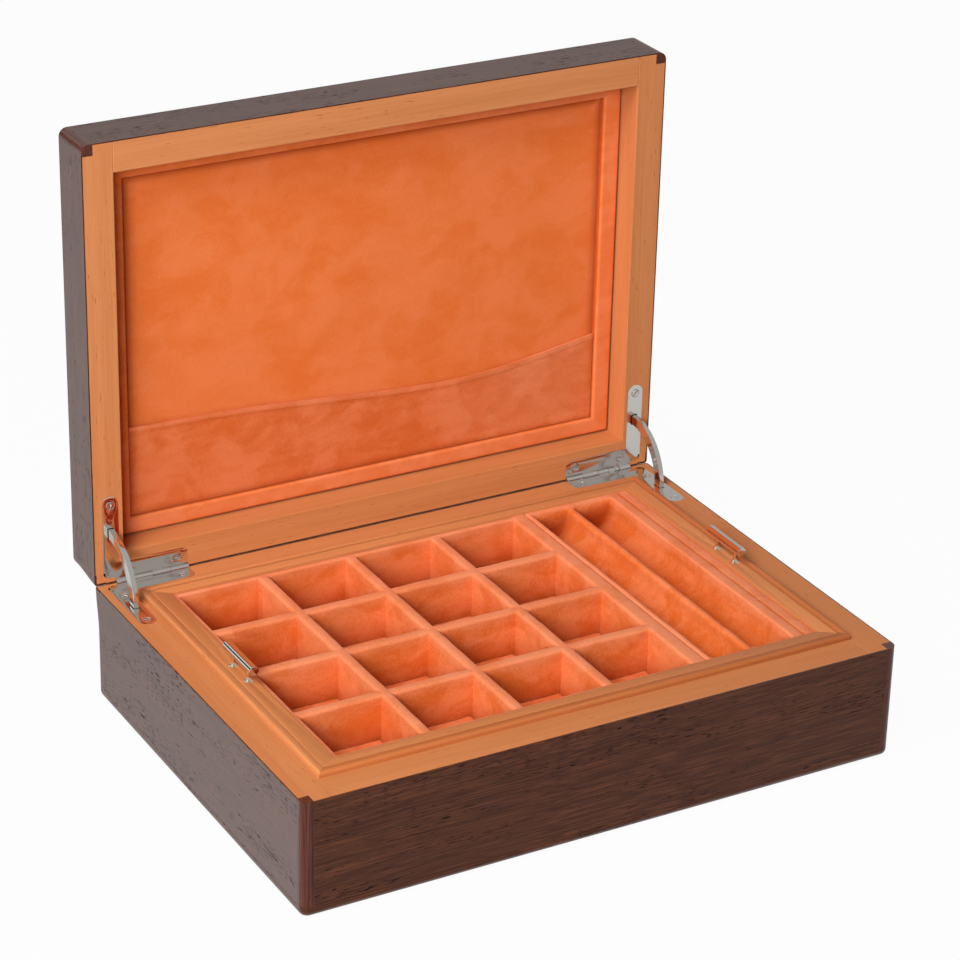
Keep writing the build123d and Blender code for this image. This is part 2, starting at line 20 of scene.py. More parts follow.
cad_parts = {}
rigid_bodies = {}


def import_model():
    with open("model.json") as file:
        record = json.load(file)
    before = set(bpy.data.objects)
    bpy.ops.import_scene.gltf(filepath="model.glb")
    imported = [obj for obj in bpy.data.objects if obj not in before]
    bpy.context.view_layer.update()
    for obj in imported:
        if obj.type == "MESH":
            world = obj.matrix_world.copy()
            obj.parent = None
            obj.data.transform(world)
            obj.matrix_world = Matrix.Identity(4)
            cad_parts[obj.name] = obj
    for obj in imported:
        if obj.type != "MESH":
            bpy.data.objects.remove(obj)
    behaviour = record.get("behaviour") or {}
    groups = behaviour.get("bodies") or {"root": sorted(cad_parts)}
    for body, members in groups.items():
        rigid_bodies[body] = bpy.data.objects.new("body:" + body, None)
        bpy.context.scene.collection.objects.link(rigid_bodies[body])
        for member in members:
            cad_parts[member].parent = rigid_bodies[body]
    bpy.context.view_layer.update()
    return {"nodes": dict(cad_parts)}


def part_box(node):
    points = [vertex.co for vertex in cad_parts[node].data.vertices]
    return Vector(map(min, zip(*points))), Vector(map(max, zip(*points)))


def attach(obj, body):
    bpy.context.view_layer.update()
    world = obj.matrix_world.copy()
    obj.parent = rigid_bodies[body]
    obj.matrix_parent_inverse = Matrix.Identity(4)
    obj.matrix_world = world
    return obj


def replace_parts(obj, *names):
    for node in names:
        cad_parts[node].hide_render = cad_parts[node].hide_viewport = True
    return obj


MM = 0.001
# Attribute that holds painted light (below 0) and painted shade (above 0) for the suede pieces.
PAINTED_LIGHT_SHADE_LAYER = "nap"
LOG = logging.getLogger("display_box")

Colour = tuple[float, float, float]
Point = tuple[float, float, float]
Flat = tuple[float, float]
WHITE: Colour = (1.0, 1.0, 1.0)


class Grain(Enum):
    """Direction that the wood's fibres run in, with the turn that lays them along X."""

    ALONG_X = (0.0, 0.0, 0.0)
    ALONG_Y = (0.0, 0.0, -math.pi / 2)
    ALONG_Z = (0.0, math.pi / 2, 0.0)


class Body(Enum):
    """Moving bodies of the model."""

    BASE = "base"
    LID = "lid"
    LEFT_STAY = "left_stay"
    RIGHT_STAY = "right_stay"
    TRAY = "tray"


class Slot(Enum):
    """Material slots of the record."""

    VENEER = "dark_veneer"
    SOLID = "dark_solid_wood"
    CEDAR = "cedar"
    SUEDE = "orange_suede"
    NICKEL = "polished_nickel"
    FELT = "dark_baize"


# ---- node trees --------------------------------------------------------------------------
class NodeSheet:
    """A node tree while it is being laid out."""

    def __init__(self, tree: bpy.types.NodeTree) -> None:
        """Start on a tree and clear it.

        Args:
            tree: the tree to fill.
        """
        self.tree = tree
        tree.nodes.clear()

    def add(self, kind: str, inputs: dict | None = None, **settings: object) -> bpy.types.Node:
        """Add a node, set its properties and fill or link its inputs.

        Args:
            kind: the node's type name.
            inputs: input name or index to a value or to an output socket.
            **settings: properties of the node.

        Returns:
            The new node.
        """
        node = self.tree.nodes.new(kind)
        for key, value in settings.items():
            setattr(node, key, value)
        self.feed(node, inputs or {})
        return node

    def feed(self, node: bpy.types.Node, inputs: dict) -> None:
        """Fill or link inputs of a node.

        Args:
            node: the node.
            inputs: input name or index to a value, a colour of three numbers or an output socket.
        """
        for key, value in inputs.items():
            socket = node.inputs[key]
            if isinstance(value, bpy.types.NodeSocket):
                self.tree.links.new(value, socket)
            elif socket.type == "RGBA" and len(value) == 3:
                socket.default_value = (*value, 1.0)
            else:
                socket.default_value = value

    def math(self, operation: str, *values: object, clamp: bool = False) -> bpy.types.NodeSocket:
        """Add a Math node.

        Args:
            operation: the node's operation.
            *values: its values or sockets, in order.
            clamp: whether the result is kept from 0 to 1.

        Returns:
            Its output socket.
        """
        node = self.add("ShaderNodeMath", dict(enumerate(values)), operation=operation, use_clamp=clamp)
        return node.outputs[0]

    def vector(self, operation: str, inputs: dict) -> bpy.types.NodeSocket:
        """Add a Vector Math node.

        Args:
            operation: the node's operation.
            inputs: its inputs.

        Returns:
            Its vector output.
        """
        return self.add("ShaderNodeVectorMath", inputs, operation=operation).outputs[0]

    def blend(self, factor: object, first: object, second: object) -> bpy.types.NodeSocket:
        """Mix two colours.

        Args:
            factor: share of the second colour, as a value or socket.
            first: colour or socket.
            second: colour or socket.

        Returns:
            The mixed colour.
        """
        node = self.add("ShaderNodeMix", {0: factor, 6: first, 7: second}, data_type="RGBA", clamp_factor=True)
        return node.outputs[2]

    def noise(self, vector: bpy.types.NodeSocket, scale: object, detail: float = 2.0,
              roughness: float = 0.5) -> bpy.types.NodeSocket:
        """Add a Noise Texture.

        Args:
            vector: where it is read.
            scale: its scale, as a value or socket.
            detail: number of octaves.
            roughness: weight of the finer octaves.

        Returns:
            Its value output.
        """
        node = self.add("ShaderNodeTexNoise", {"Vector": vector, "Scale": scale, "Detail": detail,
                                               "Roughness": roughness})
        return node.outputs[0]

    def ramp(self, value: object, low: float, high: float) -> bpy.types.NodeSocket:
        """Stretch a value smoothly from a range to 0 to 1.

        Args:
            value: the value's socket.
            low: what becomes 0.
            high: what becomes 1.

        Returns:
            The stretched value.
        """
        node = self.add("ShaderNodeMapRange", {0: value, 1: low, 2: high}, interpolation_type="SMOOTHSTEP")
        return node.outputs[0]

    def bump(self, height: bpy.types.NodeSocket, strength: float, distance: float) -> bpy.types.NodeSocket:
        """Turn a height into a normal.

        Args:
            height: the height, where 1 is the full distance.
            strength: share of the effect.
            distance: the full distance in millimetres.

        Returns:
            The normal.
        """
        node = self.add("ShaderNodeBump", {"Strength": strength, "Distance": distance * MM, "Height": height})
        return node.outputs[0]


def blank_material(name: str) -> tuple[bpy.types.Material, NodeSheet]:
    """Start a material with an empty tree.

    Args:
        name: the material's name.

    Returns:
        The material and its sheet.
    """
    made = bpy.data.materials.new(name)
    made.use_nodes = True
    return made, NodeSheet(made.node_tree)


def group_sheet(name: str, kind: str, inputs: Sequence[tuple[str, str, object]],
                outputs: Sequence[tuple[str, str]]) -> tuple[NodeSheet, bpy.types.Node, bpy.types.Node]:
    """Start a node group with named sockets.

    Args:
        name: the group's name.
        kind: ShaderNodeTree or GeometryNodeTree.
        inputs: name, socket type and default of each input.
        outputs: name and socket type of each output.

    Returns:
        The sheet, its input node and its output node.
    """
    tree = bpy.data.node_groups.new(name, kind)
    for label, socket_type, default in inputs:
        socket = tree.interface.new_socket(name=label, in_out="INPUT", socket_type=socket_type)
        if default is not None:
            socket.default_value = default
    for label, socket_type in outputs:
        tree.interface.new_socket(name=label, in_out="OUTPUT", socket_type=socket_type)
    sheet = NodeSheet(tree)
    return sheet, sheet.add("NodeGroupInput"), sheet.add("NodeGroupOutput")


def grain_group() -> bpy.types.NodeTree:
    """Build the wood's grain, once: slow streaks, fine fibres and open pores along X.

    Returns:
        The shader node group, which reads a vector in millimetres.
    """
    name = "wood_grain"
    if name in bpy.data.node_groups:
        return bpy.data.node_groups[name]
    number = "NodeSocketFloat"
    sheet, given, result = group_sheet(name, "ShaderNodeTree", [
        ("Vector", "NodeSocketVector", None),
        ("Streak width", number, 4.0),
        ("Fibre width", number, 0.6),
        ("Pore width", number, 0.5),
        ("Pore length", number, 9.0),
        ("Pore share", number, 0.2),
    ], [("Streaks", number), ("Fibres", number), ("Pores", number)])
    place = given.outputs["Vector"]
    wander = sheet.add("ShaderNodeTexNoise", {"Vector": place, "Scale": 0.012, "Detail": 1.0})
    shift = sheet.vector("MULTIPLY_ADD", {0: wander.outputs[1], 1: (0.0, 3.5, 3.5), 2: place})

    def layer(width: bpy.types.NodeSocket, length_ratio: object, detail: float) -> bpy.types.NodeSocket:
        """Read noise that is stretched along the fibres.

        Args:
            width: the marks' width.
            length_ratio: their length over their width.
            detail: octaves of the noise.

        Returns:
            The noise's value.
        """
        shrink = sheet.math("DIVIDE", 1.0, length_ratio)
        stretch = sheet.add("ShaderNodeCombineXYZ", {0: shrink, 1: 1.0, 2: 1.0})
        squeezed = sheet.vector("MULTIPLY", {0: shift, 1: stretch.outputs[0]})
        return sheet.noise(squeezed, sheet.math("DIVIDE", 0.7, width), detail, 0.55)

    streaks = layer(given.outputs["Streak width"], 34.0, 3.0)
    fibres = layer(given.outputs["Fibre width"], 60.0, 2.0)
    ratio = sheet.math("DIVIDE", given.outputs["Pore length"], given.outputs["Pore width"])
    pores = layer(given.outputs["Pore width"], ratio, 0.0)
    crowd = sheet.noise(sheet.vector("MULTIPLY", {0: shift, 1: (0.18, 1.0, 1.0)}), 0.09, 2.0)
    limit = sheet.math("SUBTRACT", 0.80, sheet.math("MULTIPLY", given.outputs["Pore share"],
                                                   sheet.ramp(crowd, 0.3, 0.7)))
    depth = sheet.math("MULTIPLY", sheet.math("SUBTRACT", pores, limit), 14.0, clamp=True)
    sheet.feed(result, {"Streaks": sheet.ramp(streaks, 0.32, 0.68), "Fibres": sheet.ramp(fibres, 0.3, 0.7),
                        "Pores": depth})
    return sheet.tree


def nap_group() -> bpy.types.NodeTree:
    """Build the suede's brushed nap, once: soft patches, smears and fine speckle.

    Returns:
        The shader node group, which reads a vector in millimetres.
    """
    name = "suede_nap"
    if name in bpy.data.node_groups:
        return bpy.data.node_groups[name]
    number = "NodeSocketFloat"
    sheet, given, result = group_sheet(name, "ShaderNodeTree", [
        ("Vector", "NodeSocketVector", None),
        ("Patch size", number, 30.0),
        ("Smear size", number, 9.0),
        ("Speckle size", number, 0.9),
        ("Speckle", number, 0.3),
    ], [("Tone", number), ("Pile", number)])
    place = given.outputs["Vector"]
    bend = sheet.add("ShaderNodeTexNoise", {"Vector": place, "Scale": 0.03, "Detail": 2.0})
    shift = sheet.vector("MULTIPLY_ADD", {0: bend.outputs[1], 1: (22.0, 22.0, 22.0), 2: place})
    patches = sheet.noise(shift, sheet.math("DIVIDE", 1.0, given.outputs["Patch size"]), 3.0, 0.55)
    slanted = sheet.add("ShaderNodeMapping", {"Vector": shift, "Rotation": (0.3, 0.6, 0.5),
                                              "Scale": (0.45, 1.0, 1.3)})
    smears = sheet.noise(slanted.outputs[0], sheet.math("DIVIDE", 1.0, given.outputs["Smear size"]), 4.0, 0.6)
    speckle = sheet.noise(place, sheet.math("DIVIDE", 1.0, given.outputs["Speckle size"]), 2.0, 0.7)
    broad = sheet.math("ADD", sheet.math("MULTIPLY", sheet.ramp(patches, 0.43, 0.57), 0.55),
                       sheet.math("MULTIPLY", sheet.ramp(smears, 0.35, 0.65), 0.45))
    grit = sheet.math("MULTIPLY", sheet.math("SUBTRACT", speckle, 0.5), given.outputs["Speckle"])
    tone = sheet.math("MULTIPLY_ADD", grit, 2.0, broad, clamp=True)
    pile = sheet.math("ADD", sheet.math("MULTIPLY", speckle, 0.7), sheet.math("MULTIPLY", smears, 0.5))
    sheet.feed(result, {"Tone": tone, "Pile": pile})
    return sheet.tree


# ---- finishes ----------------------------------------------------------------------------
@dataclass(frozen=True)
class Finish:
    """What every finish has: a name and a record slot."""

    name: str
    slot: Slot

    def material(self) -> bpy.types.Material:
        """Return the finish's material, built once."""
        if self.name in bpy.data.materials:
            return bpy.data.materials[self.name]
        made, sheet = blank_material(self.name)
        shader = sheet.add("ShaderNodeBsdfPrincipled")
        sheet.add("ShaderNodeOutputMaterial", {0: shader.outputs[0]})
        place = sheet.vector("SCALE", {0: sheet.add("ShaderNodeTexCoord").outputs["Object"], "Scale": 1 / MM})
        self.fill(sheet, shader, place)
        return made

    def fill(self, sheet: NodeSheet, shader: bpy.types.Node, place: bpy.types.NodeSocket) -> None:
        """Lay out the finish's nodes.

        Args:
            sheet: the material's tree.
            shader: its Principled BSDF.
            place: object coordinates in millimetres.
        """
        raise NotImplementedError

    def dress(self, piece: bpy.types.Object) -> bpy.types.Object:
        """Give a piece this finish.

        Args:
            piece: the piece.

        Returns:
            The same piece.
        """
        piece.data.materials.clear()
        piece.data.materials.append(self.material())
        return piece


@dataclass(frozen=True)
class Wood(Finish):
    """Wood with streaks, fibres and pores under a thin satin lacquer."""

    dark: Colour
    light: Colour
    pore: Colour
    grain: Grain = Grain.ALONG_X
    offset: float = 0.0
    streak_width: float = 4.0
    fibre_width: float = 0.6
    fibre_weight: float = 0.5
    pore_width: float = 0.5
    pore_length: float = 9.0
    pore_share: float = 0.2
    roughness: float = 0.6
    lacquer: float = 0.6
    front_lacquer: float = 0.15
    flecks: float = 0.0
    lacquer_roughness: float = 0.28
    lacquer_index: float = 1.5
    relief: float = 0.08

    def fill(self, sheet: NodeSheet, shader: bpy.types.Node, place: bpy.types.NodeSocket) -> None:
        """Lay out the wood's nodes.

        Args:
            sheet: the material's tree.
            shader: its Principled BSDF.
            place: object coordinates in millimetres.
        """
        turned = sheet.add("ShaderNodeMapping", {"Vector": place, "Rotation": self.grain.value,
                                                 "Location": (self.offset, 3 * self.offset, self.offset)})
        grain = sheet.add("ShaderNodeGroup", node_tree=grain_group())
        sheet.feed(grain, {"Vector": turned.outputs[0], "Streak width": self.streak_width,
                           "Fibre width": self.fibre_width, "Pore width": self.pore_width,
                           "Pore length": self.pore_length, "Pore share": self.pore_share})
        streaks, fibres, pores = (grain.outputs[i] for i in range(3))
        tone = sheet.math("ADD", sheet.math("MULTIPLY", fibres, self.fibre_weight),
                          sheet.math("MULTIPLY", streaks, 1 - self.fibre_weight))
        wood = sheet.blend(tone, self.dark, self.light)
        if self.flecks:
            pale = tuple(min(1.0, 2.2 * c) for c in self.light)
            wood = sheet.blend(sheet.math("MULTIPLY", sheet.ramp(fibres, 0.62, 0.85), self.flecks), wood, pale)
        facing = sheet.add("ShaderNodeLayerWeight", {"Blend": 0.5}).outputs["Facing"]
        gloss = sheet.math("MULTIPLY_ADD", sheet.ramp(facing, 0.25, 0.62), self.lacquer - self.front_lacquer,
                           self.front_lacquer)
        closed = sheet.math("MULTIPLY_ADD", pores, -0.85, 1.0)
        height = sheet.math("MULTIPLY_ADD", fibres, 0.25, sheet.math("MULTIPLY", pores, -1.0))
        sheet.feed(shader, {
            "Base Color": sheet.blend(pores, wood, self.pore),
            "Roughness": sheet.math("MULTIPLY_ADD", pores, 0.3, self.roughness),
            "Coat Weight": sheet.math("MULTIPLY", gloss, closed),
            "Coat Roughness": self.lacquer_roughness,
            "Coat IOR": self.lacquer_index,
            "Specular IOR Level": 0.2,
            "Normal": sheet.bump(height, 0.6, self.relief),
        })


@dataclass(frozen=True)
class Suede(Finish):
    """Suede with a brushed nap, and painted light and painted shade read from a stored attribute."""

    dark: Colour
    light: Colour
    # The next two colours are painted shade, for corners, recesses and gaps, and painted light, for tops and
    # lit edges.
    painted_shade: Colour = (0.34, 0.042, 0.004)
    pale: Colour = (0.80, 0.275, 0.135)
    patch_size: float = 30.0
    smear_size: float = 9.0
    speckle_size: float = 0.9
    speckle: float = 0.3
    relief: float = 0.25
    sheen: float = 0.14

    def fill(self, sheet: NodeSheet, shader: bpy.types.Node, place: bpy.types.NodeSocket) -> None:
        """Lay out the suede's nodes.

        Args:
            sheet: the material's tree.
            shader: its Principled BSDF.
            place: object coordinates in millimetres.
        """
        nap = sheet.add("ShaderNodeGroup", node_tree=nap_group())
        sheet.feed(nap, {"Vector": place, "Patch size": self.patch_size, "Smear size": self.smear_size,
                         "Speckle size": self.speckle_size, "Speckle": self.speckle})
        # The stored attribute paints light below 0 and shade above 0.
        painted_light_shade = sheet.add("ShaderNodeAttribute", attribute_name=PAINTED_LIGHT_SHADE_LAYER).outputs["Fac"]
        plain = sheet.blend(nap.outputs["Tone"], self.dark, self.light)
        patchy = sheet.math("MULTIPLY_ADD", nap.outputs["Tone"], 0.5, 0.75)
        painted_light = sheet.blend(sheet.math("MULTIPLY", sheet.math("MULTIPLY", painted_light_shade, -1.0, clamp=True), patchy),
                              plain, self.pale)
        sheet.feed(shader, {
            "Base Color": sheet.blend(sheet.math("MAXIMUM", painted_light_shade, 0.0), painted_light, self.painted_shade),
            "Roughness": 0.95,
            "Specular IOR Level": 0.1,
            "Sheen Weight": self.sheen,
            "Sheen Roughness": 0.45,
            "Sheen Tint": (1.0, 0.68, 0.52),
            "Normal": sheet.bump(nap.outputs["Pile"], 0.8, self.relief),
        })


@dataclass(frozen=True)
class Plate(Finish):
    """Polished metal plate with faint handling marks."""

    colour: Colour
    roughness: float = 0.07
    marks: float = 0.05

    def fill(self, sheet: NodeSheet, shader: bpy.types.Node, place: bpy.types.NodeSocket) -> None:
        """Lay out the metal's nodes.

        Args:
            sheet: the material's tree.
            shader: its Principled BSDF.
            place: object coordinates in millimetres.
        """
        smudges = sheet.ramp(sheet.noise(place, 0.35, 3.0), 0.4, 0.7)
        dulled = tuple(0.93 * c for c in self.colour)
        sheet.feed(shader, {
            "Base Color": sheet.blend(smudges, self.colour, dulled),
            "Metallic": 1.0,
            "Roughness": sheet.math("MULTIPLY_ADD", smudges, self.marks, self.roughness),
            "Normal": sheet.bump(sheet.noise(place, 0.12, 1.0), 0.1, 0.15),
        })


@dataclass(frozen=True)
class Felt(Finish):
    """Short pressed felt."""

    dark: Colour
    light: Colour

    def fill(self, sheet: NodeSheet, shader: bpy.types.Node, place: bpy.types.NodeSocket) -> None:
        """Lay out the felt's nodes.

        Args:
            sheet: the material's tree.
            shader: its Principled BSDF.
            place: object coordinates in millimetres.
        """
        fuzz = sheet.noise(place, 1.4, 4.0, 0.7)
        sheet.feed(shader, {
            "Base Color": sheet.blend(sheet.ramp(fuzz, 0.3, 0.7), self.dark, self.light),
            "Roughness": 1.0,
            "Sheen Weight": 0.3,
            "Normal": sheet.bump(fuzz, 0.7, 0.2),
        })


WENGE_DARK: Colour = (0.036, 0.0090, 0.0040)
WENGE_LIGHT: Colour = (0.098, 0.0300, 0.0130)
WENGE_PORE: Colour = (0.010, 0.0035, 0.0024)
SOLID_DARK: Colour = (0.030, 0.008, 0.005)
SOLID_LIGHT: Colour = (0.13, 0.038, 0.022)
SOLID_PORE: Colour = (0.012, 0.003, 0.002)
CEDAR_DARK: Colour = (0.550, 0.192, 0.064)
CEDAR_LIGHT: Colour = (0.640, 0.244, 0.090)
CEDAR_PORE: Colour = (0.42, 0.12, 0.04)


def veneer(grain: Grain, offset: float) -> Wood:
    """Describe the dark open-grained veneer.

    Args:
        grain: the way its fibres run.
        offset: where in the grain the piece was cut.

    Returns:
        The finish.
    """
    return Wood(f"veneer_{grain.name.lower()}_{offset:.0f}", Slot.VENEER, WENGE_DARK, WENGE_LIGHT, WENGE_PORE,
                grain, offset, streak_width=5.0, fibre_width=0.30, fibre_weight=0.78, pore_width=0.24,
                pore_length=3.2, pore_share=0.18, roughness=0.55, lacquer=0.88, front_lacquer=0.06,
                lacquer_index=1.95, lacquer_roughness=0.33, relief=0.08, flecks=0.18)


def solid_wood(grain: Grain, offset: float) -> Wood:
    """Describe the reddish dark solid wood of the corners and the edging.

    Args:
        grain: the way its fibres run.
        offset: where in the grain the piece was cut.

    Returns:
        The finish.
    """
    return Wood(f"solid_{grain.name.lower()}_{offset:.0f}", Slot.SOLID, SOLID_DARK, SOLID_LIGHT, SOLID_PORE,
                grain, offset, streak_width=1.1, fibre_width=0.35, fibre_weight=0.6, pore_width=0.25,
                pore_length=3.0, pore_share=0.1, roughness=0.5, lacquer=0.9, lacquer_roughness=0.25,
                lacquer_index=1.6)


def cedar(grain: Grain, offset: float, tone: float = 1.0) -> Wood:
    """Describe the pinkish orange cedar.

    Args:
        grain: the way its fibres run.
        offset: where in the grain the piece was cut.
        tone: lightness of the board, from 1 down; below 1 it is painted shade.

    Returns:
        The finish.
    """
    dark, light = ((r * tone ** 0.5, g * tone, b * tone ** 1.4) for r, g, b in (CEDAR_DARK, CEDAR_LIGHT))
    return Wood(f"cedar_{grain.name.lower()}_{offset:.0f}", Slot.CEDAR, dark, light, CEDAR_PORE, grain, offset,
                streak_width=5.0, fibre_width=0.5, fibre_weight=0.45, pore_width=0.3, pore_length=4.0,
                pore_share=0.05, roughness=0.6, lacquer=0.25, lacquer_roughness=0.4, relief=0.012)


CELL_SUEDE = Suede("cell_suede", Slot.SUEDE, (0.67, 0.135, 0.022), (0.77, 0.215, 0.075), patch_size=22.0,
                   smear_size=7.0, speckle_size=1.0, speckle=0.9, relief=0.35)
PANEL_SUEDE = Suede("panel_suede", Slot.SUEDE, (0.735, 0.160, 0.032), (0.79, 0.202, 0.062), patch_size=30.0,
                    smear_size=12.0, speckle_size=1.0, speckle=0.6, relief=0.2)
POCKET_SUEDE = Suede("pocket_suede", Slot.SUEDE, (0.65, 0.128, 0.026), (0.75, 0.195, 0.070), patch_size=24.0,
                     smear_size=9.0, speckle_size=1.0, speckle=0.6, relief=0.2)
FRAME_SUEDE = Suede("frame_suede", Slot.SUEDE, (0.72, 0.155, 0.030), (0.79, 0.200, 0.062), patch_size=18.0,
                    smear_size=6.0, speckle=0.3, relief=0.15)
NICKEL = Plate("polished_nickel", Slot.NICKEL, (0.84, 0.66, 0.48))
TURNED_NICKEL = Plate("turned_nickel", Slot.NICKEL, (0.98, 0.80, 0.60), roughness=0.2)
BAIZE = Felt("dark_felt", Slot.FELT, (0.025, 0.020, 0.018), (0.060, 0.048, 0.042))


# ---- meshes ------------------------------------------------------------------------------
@dataclass
class Draft:
    """A mesh while it is being built, in millimetres."""

    points: list[Point] = field(default_factory=list)
    faces: list[tuple[int, ...]] = field(default_factory=list)

    def loft(self, loops: Sequence[Sequence[Point]], around: bool = True, along: bool = False,
             caps: bool = True) -> None:
        """Join loops of the same number of points with quads.

        Args:
            loops: the loops in order.
            around: whether each loop is closed.
            along: whether the last loop joins the first.
            caps: whether the first and last loops are filled.
        """
        count, first = len(loops[0]), len(self.points)
        for loop in loops:
            self.points.extend(loop)
        rows = len(loops) if along else len(loops) - 1
        columns = count if around else count - 1
        for row in range(rows):
            here, there = first + row * count, first + (row + 1) % len(loops) * count
            for column in range(columns):
                following = (column + 1) % count
                self.faces.append((here + column, here + following, there + following, there + column))
        if caps and not along:
            last = first + (len(loops) - 1) * count
            self.faces.append(tuple(range(first + count - 1, first - 1, -1)))
            self.faces.append(tuple(range(last, last + count)))

    def piece(self, name: str, sharp_angle: float = 40.0,
              shade: Callable[[Vector], float] | None = None) -> bpy.types.Object:
        """Turn the draft into an object with merged, outward-facing faces.

        Args:
            name: the piece's name.
            sharp_angle: angle in degrees above which an edge is left sharp.
            shade: gives each point its painted light and shade, from -1 to 1.

        Returns:
            The new object, at the origin.
        """
        mesh = bpy.data.meshes.new(name)
        mesh.from_pydata([tuple(MM * c for c in p) for p in self.points], [], self.faces)
        made = finished_piece(name, mesh, sharp_angle)
        return paint_light_and_shade(made, shade) if shade else made


def lofted(loops: Sequence[Sequence[Point]], name: str, sharp_angle: float = 40.0,
           shade: Callable[[Vector], float] | None = None, **joins: bool) -> bpy.types.Object:
    """Join loops into one piece.

    Args:
        loops: the loops in order.
        name: the piece's name.
        sharp_angle: angle in degrees above which an edge is left sharp.
        shade: gives each point its painted light and shade, from -1 to 1.
        **joins: what Draft.loft takes.

    Returns:
        The new object, at the origin.
    """
    draft = Draft()
    draft.loft(loops, **joins)
    return draft.piece(name, sharp_angle, shade)


def linked(name: str, data: bpy.types.ID) -> bpy.types.Object:
    """Put data into the scene.

    Args:
        name: the object's name.
        data: its mesh, lamp or camera.

    Returns:
        The new object, at the origin.
    """
    made = bpy.data.objects.new(name, data)
    bpy.context.scene.collection.objects.link(made)
    return made


def settled(work: bmesh.types.BMesh, name: str) -> bpy.types.Object:
    """Put a working mesh into the scene.

    Args:
        work: the working mesh, which is freed.
        name: the object's name.

    Returns:
        The new object, at the origin.
    """
    mesh = bpy.data.meshes.new(name)
    work.to_mesh(mesh)
    work.free()
    return linked(name, mesh)


def paint_light_and_shade(piece: bpy.types.Object, shade: Callable[[Vector], float]) -> bpy.types.Object:
    """Store painted light and shade at each point of a suede piece.

    Args:
        piece: the piece.
        shade: gives a point in millimetres from -1, painted light, to 1, painted shade.

    Returns:
        The same piece.
    """
    layer = piece.data.attributes.new(PAINTED_LIGHT_SHADE_LAYER, "FLOAT", "POINT")
    for vertex, value in zip(piece.data.vertices, layer.data):
        value.value = shade(vertex.co / MM)
    return piece


def finished_piece(name: str, mesh: bpy.types.Mesh, sharp_angle: float) -> bpy.types.Object:
    """Merge a mesh's doubles, turn its faces outward, smooth it and link it as a piece.

    Args:
        name: the piece's name.
        mesh: its mesh, in metres.
        sharp_angle: angle in degrees above which an edge is left sharp.

    Returns:
        The new object.
    """
    work = bmesh.new()
    work.from_mesh(mesh)
    bmesh.ops.remove_doubles(work, verts=work.verts, dist=0.002 * MM)
    bmesh.ops.recalc_face_normals(work, faces=work.faces)
    smooth_by_angle(work, sharp_angle)
    work.to_mesh(mesh)
    work.free()
    return linked(name, mesh)


def smooth_by_angle(work: bmesh.types.BMesh, sharp_angle: float) -> None:
    """Smooth every face and leave the edges above an angle sharp.

    Args:
        work: the mesh.
        sharp_angle: the angle in degrees.
    """
    limit = math.radians(sharp_angle)
    for face in work.faces:
        face.smooth = True
    for edge in work.edges:
        edge.smooth = len(edge.link_faces) != 2 or edge.calc_face_angle(0.0) < limit


def keep_flats(work: bmesh.types.BMesh, easings: set[bmesh.types.BMFace]) -> None:
    """Shade flat sides flat, so that only the easings and the curved sides are smoothed.

    Args:
        work: the mesh.
        easings: the faces of its easings.
    """
    for face in work.faces:
        if face in easings:
            continue
        beside = [n for e in face.edges if e.smooth for n in e.link_faces if n is not face]
        face.smooth = any(n not in easings for n in beside)


def eased_copy(node: bpy.types.Object, name: str, easing: float, sharp_angle: float = 35.0,
               choose: Callable[[Vector], bool] | None = None) -> bpy.types.Object:
    """Copy a node of the model with its doubles merged and its sharp edges eased.

    Args:
        node: the model's node, which stays as it is.
        name: the copy's name.
        easing: width of the easing in millimetres.
        sharp_angle: angle in degrees above which an edge is eased.
        choose: tells by its middle, in millimetres, whether an edge is eased.

    Returns:
        The copy, which stands for the node.
    """
    work = bmesh.new()
    work.from_mesh(node.data)
    bmesh.ops.remove_doubles(work, verts=work.verts, dist=0.004 * MM)
    bmesh.ops.dissolve_limit(work, angle_limit=math.radians(0.4), verts=work.verts, edges=work.edges)
    limit = math.radians(sharp_angle)
    edges = [e for e in work.edges if len(e.link_faces) == 2 and e.calc_face_angle(0.0) > limit]
    if choose:
        edges = [e for e in edges if choose((e.verts[0].co + e.verts[1].co) / (2 * MM))]
    made = bmesh.ops.bevel(work, geom=edges, offset=easing * MM, segments=2, profile=0.5, affect="EDGES",
                           clamp_overlap=True)
    smooth_by_angle(work, 28.0)
    keep_flats(work, set(made["faces"]))
    bmesh.ops.triangulate(work, faces=[f for f in work.faces if len(f.verts) > 4])
    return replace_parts(settled(work, name), node.name)


def sway(place: Point, size: float, seed: float) -> float:
    """Read smooth noise from -1 to 1, the same on each run.

    Args:
        place: where, in millimetres.
        size: the noise's feature size in millimetres.
        seed: which noise.

    Returns:
        The noise's value.
    """
    return noise.noise(Vector(place) / size + Vector((seed, 2.7 * seed, 1.3 * seed)))


def steps(low: float, high: float, spacing: float) -> list[float]:
    """Divide a range evenly.

    Args:
        low: its start.
        high: its end.
        spacing: the longest step.

    Returns:
        The places, both ends included.
    """
    count = max(1, math.ceil(abs(high - low) / spacing))
    return [low + (high - low) * i / count for i in range(count + 1)]


def arc(centre: Flat, radius: float, start: float, end: float, count: int) -> list[Flat]:
    """Sample an arc.

    Args:
        centre: its centre.
        radius: its radius.
        start: first angle in degrees.
        end: last angle in degrees.
        count: number of steps.

    Returns:
        The points, both ends included.
    """
    angles = (math.radians(start + (end - start) * i / count) for i in range(count + 1))
    return [(centre[0] + radius * math.cos(a), centre[1] + radius * math.sin(a)) for a in angles]


